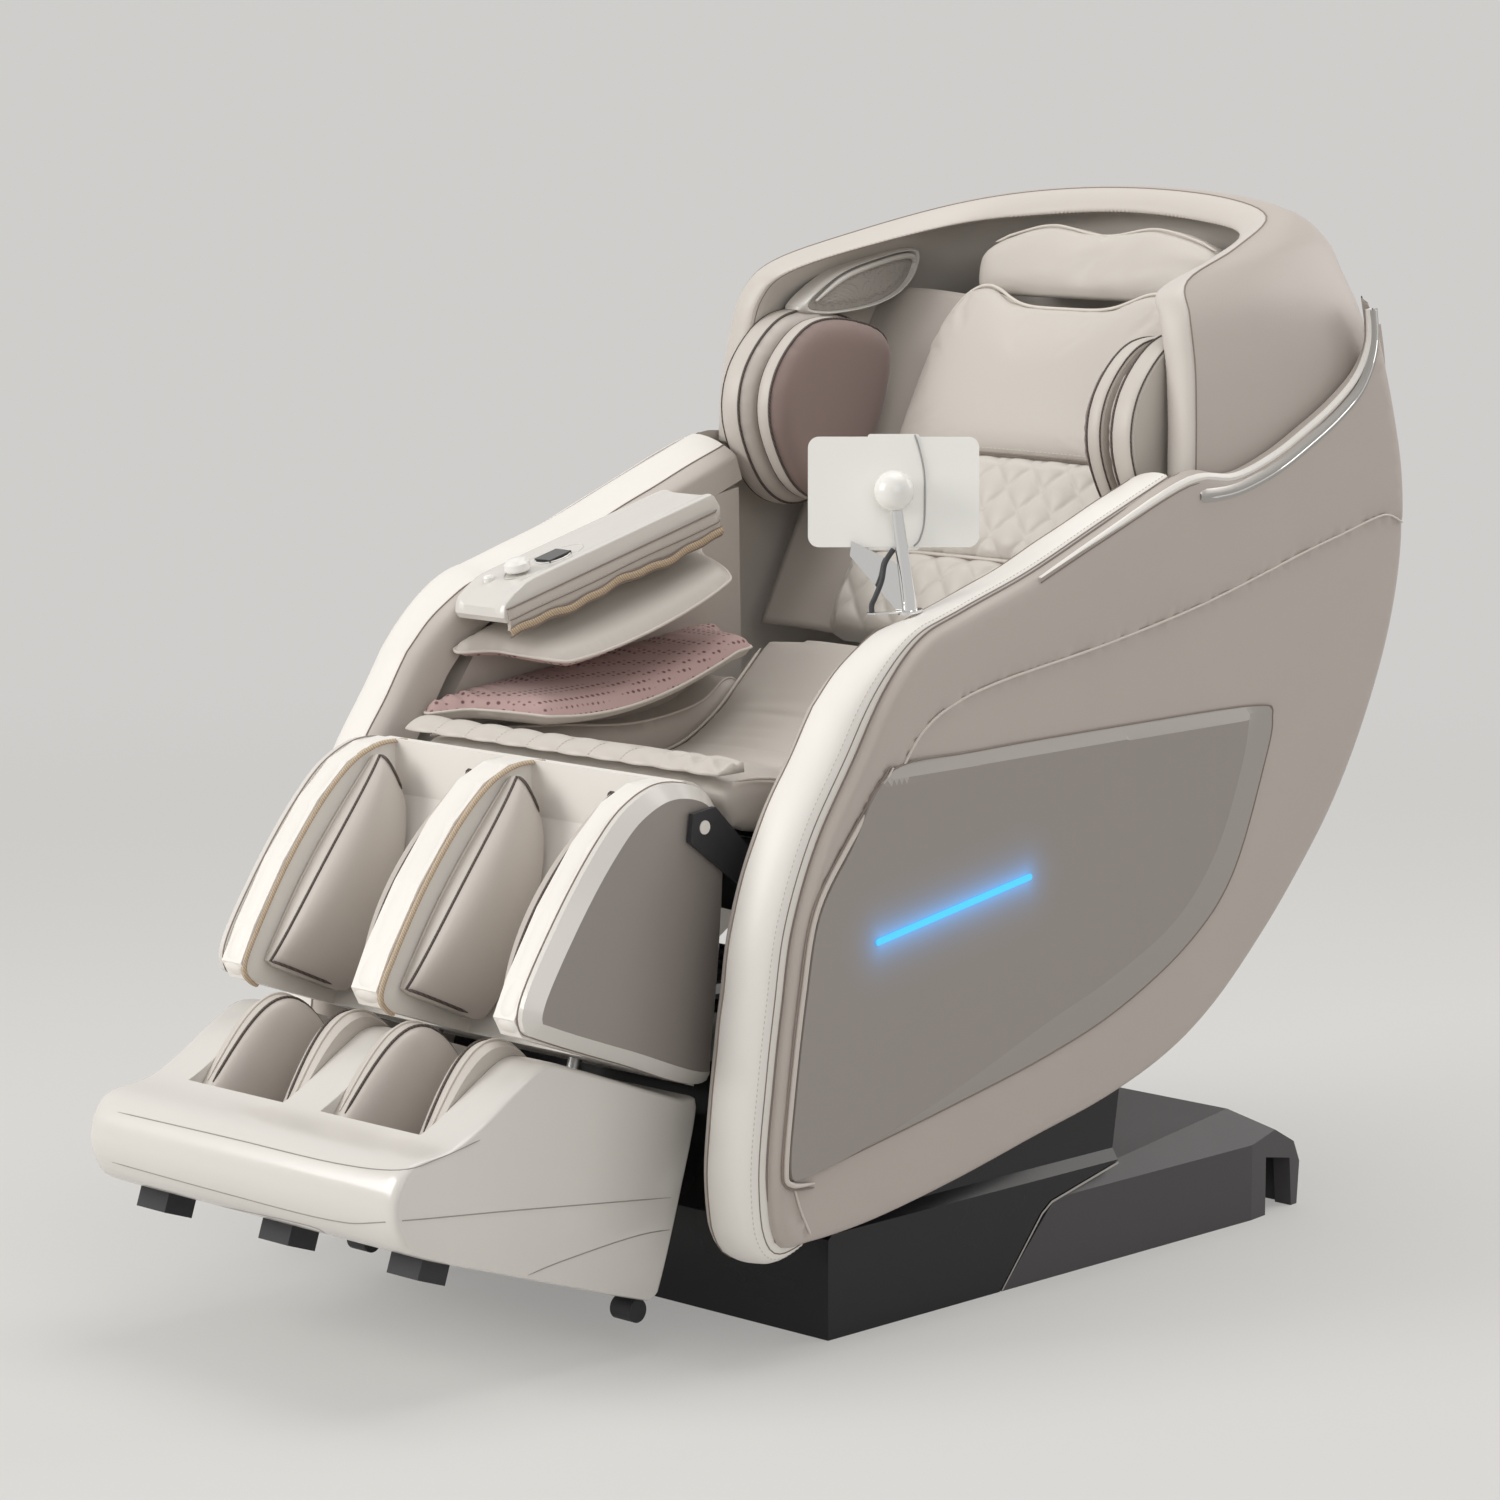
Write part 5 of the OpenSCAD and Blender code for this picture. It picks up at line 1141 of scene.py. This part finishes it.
# ---------------------------------------------------------------- seat cushion
seat_top = [[-282, 600], [-262, 616], [-200, 612], [-100, 590], [0, 568], [80, 556], [140, 562], [200, 592],
            [250, 634], [296, 676]]
seat_under = [[322, 650], [270, 590], [216, 530], [150, 494], [80, 486], [-100, 520], [-200, 545], [-270, 566]]
seat_loop = np.vstack([spline(seat_top, 3), spline(seat_under, 3)])
SEAT_HALF = 245


def seat_form():
    y, z = seat_loop.T
    upper = z > np.where(y > 150, 520 + (y - 150) * 0.86, 545)
    c = np.array([40, 560.0])
    rings = []
    for s in np.linspace(-1, 1, 37):
        e = np.interp(abs(s), [0, 0.6, 0.94, 1], [0, 0, 0.5, 1.0])
        q = seat_loop.copy()
        q[:, 1] += np.where(upper, -9, 4) * e + np.where(upper, -1.0, 1.5)
        rings.append(yz((c + (q - c) * (1 - 0.012 * e))[::-1], s * SEAT_HALF))
    return loft(rings)


def seat_pin(v):
    under = np.where(v[:, 1] > 150, 530 + (v[:, 1] - 150) * 0.86, 556)
    return np.maximum(np.clip((under - v[:, 2]) / 8, 0, 1), np.clip((abs(v[:, 0]) - 238) / 4, 0, 1))


seat_geo = puff(seat_form(), seat_pin, 3.0, 7, 8, 16)
v = seat_geo[0]
dip = bump_at(v[:, 1] - 60, 90) * bump_at(v[:, 0], 140)
crease_rows = 1.2 * np.sin(v[:, 1] / 14 + 1.5 * np.sin(v[:, 0] / 60)) * (1 - bump_at(abs(v[:, 0]) - 120, 90)) * 0.6
v[:, 2] += np.where(v[:, 2] > 545, crease_rows - 2 * dip, 0)
seat = piece("seat_cushion_soft", [(seat_geo, LIGHT)], "seat", sharp=0, subdiv=1)
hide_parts("seat_cushion")
seat_edge = spline(seat_top, 6)[6:-2] + (0, -8)
piece("seat_piping", [(sweep(yz(seat_edge, x), 4.0, 10, taper=True), EDGE) for x in (-244, 244)], "seat")

# ---------------------------------------------------------------- hip cushions
hip_loop = outline([[-226, 560], [-180, 600], [-60, 596], [80, 584], [190, 596], [240, 622], [262, 612], [250, 570],
                    [180, 510], [60, 482], [-120, 512], [-208, 538]], 8)
gusset, face = gusset_pad(hip_loop, ARM_X + 0.2, 262.0, 12.0, 9, 0.5, 30, 0.8)
parts = [(gusset, TAUPE), (face, TAUPE), (closed_pipe(hip_loop, 262, 3.2), EDGE)]
hips = piece("hip_cushions_soft", parts + [(mirrored(g), m) for g, m in parts], "seat", sharp=50)
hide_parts("hip_cushions")


# ---------------------------------------------------------------- quilted flap over the top of the calf unit
SCALLOP, FLAP_HALF = 50.4, 252
flap_x = np.linspace(1 - FLAP_HALF, FLAP_HALF - 1, 190)
flap_top, flap_low = [], []
for x in flap_x:
    scallop = abs(math.sin(math.pi * (x + FLAP_HALF) / SCALLOP))
    gather = 1 / (1 + math.exp(-(x - 150) / 14))
    row, under = [], []
    for t in np.linspace(0, 1, 26):
        reach = -256 - (38 + 5.5 * scallop) * t
        puffy = 6.5 * (scallop ** 0.45) * (math.sin(math.pi * t) ** 0.5) * (1 - 0.5 * gather)
        fold = 5.0 * gather * math.sin(x / 5.5 + 2.6 * math.sin(t * 4.2) + t * 5) * math.sin(math.pi * t * 0.9 + 0.25)
        z = 629.5 + 2.2 * math.sin(math.pi * t) - 7 * t * t + puffy - 3.0
        row.append((x, reach, z + fold * 0.8 + 1.5 * gather))
        under.append((x, reach + 1.5 * (1 - t), 618.5 - 0.6 * t))
    flap_top.append(np.array(row))
    flap_low.append(np.array(under))
flap = piece("quilted_flap", [(slab(flap_top, flap_low), LIGHT)], "seat", sharp=0)
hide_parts("seat_flap")
stitch = []
for x in np.arange(1, 8) * SCALLOP - FLAP_HALF:
    stitch.append(dashes(flap_top[int(np.argmin(abs(flap_x - x)))][2:-1] + (0, 0, 0.5), 5, 3.2, 1.0))
piece("flap_stitches", [(join(*stitch), THREAD)], "seat")


# ---------------------------------------------------------------- calf unit
GUSSET_COLS = 5      # columns of a calf or foot pad that are its gusset; the others are its face


def gusset_and_face(rings):
    v, quads = loft(rings)
    m = len(rings[0])
    first = [i % m < GUSSET_COLS for i in range(len(quads) - 2)] + [False, False]
    return [((v, [q for q, g in zip(quads, first) if g]), LIGHT),
            ((v, [q for q, g in zip(quads, first) if not g]), TAUPE)]


def calf_pads(name, side):
    t = np.linspace(0, 1, 25)
    front = np.column_stack([-556 + 166 * t - 14 * np.sin(np.pi * t), 394 + 212 * t])
    rear = np.column_stack([-452 + 88 * t, 346 + 206 * t])
    full = np.sin(np.pi * (0.08 + 0.84 * t)) ** 0.5
    parts = []
    for x0, way in ((20.6, 1), (203.4, -1)):       # both walls of the well
        gussets, faces = [], []
        for a, b, f in zip(front, rear, full):
            g = 30 * f
            gussets.append([(x0 + way * g * u, *(a + (b - a) * (0.02 + 0.05 * (1 - u) - 0.03 * math.sin(math.pi * u))))
                            for u in np.linspace(0, 1, 6)])
            row = []
            for u in np.linspace(0, math.pi, 16):
                w = (1 - math.cos(u)) / 2
                row.append((x0 + way * (g + (61 * f - g) * math.sin(u * (1 - 0.35 * w)) ** 0.75),
                            *(a + (b - a) * (0.02 + 0.96 * w))))
            faces.append(row)
        gussets, faces = np.array(gussets), np.array(faces)
        rings = [np.vstack([g[:-1], f, [w]]) for g, f, w in zip(gussets, faces, yz(rear, x0))]
        first, last = [c + (q - c) * 0.8 for q in (rings[0], rings[-1]) for c in (q.mean(0),)]
        rim = np.vstack([faces[0][:11][::-1], faces[1:-1, 0], faces[-1][:11]]) + (way * 0.8, 0, 0)
        parts += gusset_and_face([first + (0, 0, -4)] + rings + [last + (0, 0, 4)])
        parts += [(sweep(rim, 3.6, 8, taper=True), PIPE),
                  (sweep(gussets[:, 1] + (way * 0.5, 0, 0), 2.6, 8, taper=True), EDGE)]
    ob = piece(name, parts, "calf", sharp=50, side=side)
    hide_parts("calf_pads_" + side)


both(calf_pads, "calf_pads")

calf_front = spline([[-545, 362], [-572, 372], [-583, 392], [-563, 432], [-519, 500], [-468, 562], [-424, 600],
                     [-386, 616], [-349, 617.5], [-316, 611], [-296, 596]], 8)
n = side_of(calf_front)
n = -n if n[10, 0] > 0 else n
parts, lines = [], []
for x0, x1 in ((-236, -206), (-18.5, 18.5), (206, 236)):
    rows = []
    for k, p in enumerate(calf_front):
        e = math.sin(math.pi * (k + 0.6) / (len(calf_front) + 0.2)) ** 0.35
        row = []
        for t in np.linspace(0, math.pi, 13):
            q = p + n[k] * (7.5 * e * math.sin(t) ** 0.6 - 7)
            row.append((x0 + (x1 - x0) * (1 - math.cos(t)) / 2, q[0], q[1]))
        q = p - n[k] * 16
        rows.append(row + [(x1, q[0], q[1]), (x0, q[0], q[1])])
    rows = np.array(rows)
    parts.append((loft(rows), CREAM))
    # the strip on the +X side gets a dark cord of painted shade, the others a thread line
    lines.append((sweep(rows[2:-4, 1], 1.4, 6), SEAM_SHADE if x0 > 0 else THREAD))
for x in (-203.5, 22.5):
    z = yz(calf_front[6:-14] + (5, -3), x)
    nn = yz(n[6:-14], 0.25)
    lines += [(ribbon(z, nn, 7.5, 2.6, 0.8), ZIP), (sweep(z + nn * 2.6, 1.3, 6), THREAD)]
piece("calf_strips", parts, "calf", sharp=45)
piece("calf_trims", lines, "calf")

calf_cover_loop = outline([[-300, 330], [-318, 284], [-440, 326], [-552, 368], [-578, 384], [-572, 420], [-519, 500],
                           [-468, 562], [-424, 600], [-370, 618], [-312, 604], [-286, 560], [-284, 480]], 7)
COVER_RIM = 15       # width of the gloss bevel round the calf's side cover
CALF_X, COVER_T = 236, 25.6      # the calf shell's side, and how far its cover stands out from it


def calf_cover(name, side):
    def face(_, d):
        slope = 0.36 + 0.56 * np.clip(d / COVER_RIM, 0, 1)
        return CALF_X + COVER_T * np.where(d < COVER_RIM, slope, 0.92 + 0.08 * (1 - np.exp(-(d - COVER_RIM) / 30)))
    geo = relief(calf_cover_loop, 7, face, CALF_X + 0.2, (2, 6, 10, 15.2, 19))
    rim, flat = split(geo, lambda m: (to_line(m[:, 1:], calf_cover_loop, True)[0] < COVER_RIM) | (m[:, 0] < CALF_X + 7))
    ob = piece(name, [(rim, GLOSS), (flat, PANEL)], "calf", sharp=24, side=side)
    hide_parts("calf_cover_" + side)
    # dark cord of painted shade round the cover's edge
    seam_painted_shade = sweep(yz(closed(calf_cover_loop), CALF_X + 1.5), 2.2, 8)
    piece(name + "_seam", [(seam_painted_shade, SEAM_SHADE)], "calf", side=side)


both(calf_cover, "calf_side_cover")

# ---------------------------------------------------------------- foot unit
foot_pts = np.array([[-322, 262], [-350, 160], [-380, 70], [-392, 59], [-420, 64], [-617, 129], [-730, 168],
                     [-756, 190], [-765, 222], [-756, 252], [-735, 268], [-683, 275], [-640, 294], [-590, 324],
                     [-548, 342], [-500, 329], [-400, 292], [-345, 272]], float)
foot_loop = even(spline(foot_pts, 6, True), 9, True)


FOOT_HALF, WELL_X = 250, (30, 188)      # half width of the housing, and each well's two sides


def foot_shell():
    c = np.array([-560, 190.0])
    prof = [(1.0, 0.962), (0.998, 0.972), (0.992, 0.981), (0.983, 0.989), (0.968, 0.995), (0.95, 0.999),
            (0.92, 1.0)]
    xs = [(-a, b) for a, b in prof] + [(x, 1.0) for x in np.linspace(-0.78, 0.78, 27)] + [(a, b) for a, b in prof[::-1]]
    ob = raw("foot_shell_cut", loft([yz((c + (foot_loop - c) * s)[::-1], x * FOOT_HALF) for x, s in xs]))
    cutters = []
    well = np.array([[-678, 420], [-670, 226], [-660, 204], [-636, 190], [-470, 150], [-448, 154], [-436, 176],
                     [-414, 420]], float)
    for s in (1, -1):
        cutters.append(raw("cut", loft([yz(well, s * x) for x in WELL_X][::s])))
        m = ob.modifiers.new("well", "BOOLEAN")
        m.operation, m.solver, m.object = "DIFFERENCE", "EXACT", cutters[-1]
    bevel(ob, 7, 4, 38)
    me = bpy.data.meshes.new_from_object(ob.evaluated_get(bpy.context.evaluated_depsgraph_get()))
    for o in cutters + [ob]:
        bpy.data.objects.remove(o)
    return np.array([tuple(q.co) for q in me.vertices]) / MM, [tuple(p.vertices) for p in me.polygons]


def bevel(ob, width, segments, angle):
    b = ob.modifiers.new("bevel", "BEVEL")
    b.width, b.segments, b.limit_method, b.angle_limit = width * MM, segments, "ANGLE", math.radians(angle)
    return b


foot = piece("foot_housing", [(foot_shell(), GLOSS)], "foot", sharp=32)
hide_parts("foot_shell")


def foot_pads(name, side):
    parts = []
    t = np.linspace(0, 1, 29)
    base = np.column_stack([-660 + 213 * t, 212 - 44 * t])
    rise = 18 + 152 * np.sin(np.radians(18 + 138 * t)) ** 1.25 * (1 - 0.02 * t)
    full = 0.35 + 0.65 * np.sin(np.pi * (0.1 + 0.8 * t))
    for x0, way in ((WELL_X[0] + 0.6, 1), (WELL_X[1] - 0.6, -1)):
        rows = []
        for (y, z), h, f in zip(base, rise, full):
            g = 26 * f
            row = [(x0, y, z), (x0, y, z + h * 0.97)]
            row += [(x0 + way * g * u, y, z + h * (0.97 + 0.03 * math.sin(math.pi * u / 1.2)))
                    for u in (0.25, 0.5, 0.75, 1.0)]
            row += [(x0 + way * (g + (51 * f - g) * math.sin(a) ** 0.8), y,
                     z + h * (0.985 * (0.25 + 0.75 * max(math.cos(a), 0) ** 0.8)))
                    for a in np.linspace(0, math.pi / 2, 11)[1:]]
            rows.append(row + [(x0 + way * 51 * f * 0.8, y, z)])
        rows = np.array(rows)
        parts += gusset_and_face(rows)
        parts += [(sweep(rows[1:-1, 5] + (way * 0.6, 0, 0.8), 3.4, 8, taper=True), PIPE),
                  (sweep(rows[1:-1, 3] + (0, 0, 0.8), 3.0, 8, taper=True), EDGE)]
    ob = piece(name, parts, "foot", sharp=50, side=side)
    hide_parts("foot_pads_" + side)


both(foot_pads, "foot_pads")

# split and embossed lines of the foot housing, drawn as dark cords of painted shade, carried onto it along the camera's
# rays
foot_lines = []
for pixels in ([(118, 1112), (230, 1138), (335, 1163), (400, 1170), (440, 1158), (480, 1140)],
               [(112, 1162), (220, 1192), (330, 1220), (385, 1222), (520, 1210), (690, 1196)],
               [(150, 1202), (160, 1194), (235, 1209), (310, 1226), (328, 1236)],
               [(455, 1290), (500, 1286), (560, 1262), (640, 1235), (690, 1228)]):
    foot_lines.append((sweep(trace(pixels, foot, 6, 0.1), 1.3, 6, taper=True), SPLIT_SHADE))
piece("foot_lines", foot_lines, "foot")

# ---------------------------------------------------------------- nodes kept from the frame
SOFT_KEPT = {"arm_core_left": TAUPE, "arm_core_right": TAUPE}
KEPT = {"base_frame": STEEL, "front_cover": BLACK, "rear_cover": HOUSING, "slot_trims": SILVER, "slide_rails": ZINC,
        "levelling_feet": RUBBER, "transport_wheels": RUBBER, "control_box": ZINC, "air_pump": HOUSING,
        "power_inlet": HOUSING, "power_switch": RED, "slide_carriage": STEEL, "seat_frame": STEEL,
        "light_bars": LED, "back_frame": STEEL, "massage_carriage": STEEL, "kneading_arms": ROLLER,
        "foot_rods": ZINC, "foot_rollers": ROLLER, "foot_blocks": RUBBER, "tablet_stand": CHROME, "tablet": WHITE,
        "control_knob": WHITE, "control_button": WHITE, "console_display": DISPLAY, "calf_shell": CREAM}
BEVELS = {"front_cover": 2.5, "rear_cover": 2.5, "tablet": 1.6, "foot_blocks": 1.5, "control_box": 1.0,
          "console_display": 0.5, "control_button": 0.6}
for n, m in {**SOFT_KEPT, **KEPT}.items():
    NODES[n].data.materials.clear()
    NODES[n].data.materials.append(m)
for n, w in BEVELS.items():
    bevel(NODES[n], w, 3, 32)
for n in KEPT:
    NODES[n].data.shade_smooth()
    NODES[n].data.set_sharp_from_angle(angle=math.radians(32))

# ---------------------------------------------------------------- floor and lights
PALE = (0.80, 0.79, 0.77, 1)
floor_me = bpy.data.meshes.new("floor")
floor_me.from_pydata([(-40, -40, 0), (40, -40, 0), (40, 40, 0), (-40, 40, 0)], [], [(0, 1, 2, 3)])
floor = bpy.data.objects.new("floor", floor_me)
scene.collection.objects.link(floor)


def shown(nt):
    """1 for what the camera sees, directly or in metal and glass."""
    path = add(nt, "LightPath").outputs
    either = add(nt, "Math", {0: path["Is Camera Ray"], 1: path["Is Glossy Ray"]}, operation="MAXIMUM").outputs[0]
    return add(nt, "Math", {0: either, 1: path["Is Transmission Ray"]}, operation="MAXIMUM").outputs[0]


paint = material("floor_paint", (0.72, 0.71, 0.69), 0.8, vary=0.015, vary_scale=1.2)
floor_me.materials.append(paint)
# the floor fades into the backdrop away from the chair
nt = paint.node_tree
far = add(nt, "VectorMath", {0: add(nt, "TexCoord").outputs["Object"]}, operation="LENGTH").outputs["Value"]
fade = add(nt, "MapRange", {"Value": far, "From Min": 0.9, "From Max": 5.0, "To Min": 0.45, "To Max": 1.0},
           interpolation_type="SMOOTHSTEP").outputs["Result"]
glow = add(nt, "Emission", {"Color": PALE, "Strength": 0.78}).outputs[0]
blend = add(nt, "MixShader", {0: add(nt, "Math", {0: shown(nt), 1: fade}, operation="MULTIPLY").outputs[0],
                              1: nt.nodes["Principled BSDF"].outputs[0], 2: glow})
nt.links.new(blend.outputs[0], nt.nodes["Material Output"].inputs[0])

world = bpy.data.worlds.new("studio")
scene.world = world
world.use_nodes = True
nt = world.node_tree
for n in list(nt.nodes):
    nt.nodes.remove(n)
light, backdrop = [add(nt, "Background", {"Color": colour, "Strength": strength}).outputs[0]
                   for colour, strength in (((1, 0.99, 0.97, 1), 0.42), (PALE, 0.78))]
add(nt, "OutputWorld", {0: add(nt, "MixShader", {0: shown(nt), 1: light, 2: backdrop}).outputs[0]})


def lamp(name, at, target, size, power):
    d = bpy.data.lights.new(name, "AREA")
    d.shape, d.size, d.size_y = "RECTANGLE", size, size
    d.energy, d.color = power, (1, 0.985, 0.96)
    o = bpy.data.objects.new(name, d)
    scene.collection.objects.link(o)
    o.location = at
    o.rotation_euler = (Vector(target) - Vector(at)).to_track_quat("-Z", "Y").to_euler()


lamp("key", (-2.4, -4.2, 2.6), (0, 0, 0.6), 2.6, 150)
lamp("fill", (3.8, -2.2, 2.2), (0, 0, 0.6), 2.4, 28)
lamp("top", (0.3, 0.8, 4.2), (0, 0, 0.6), 3.0, 70)
lamp("rear", (1.5, 4.0, 2.5), (0, 0, 0.7), 2.4, 50)
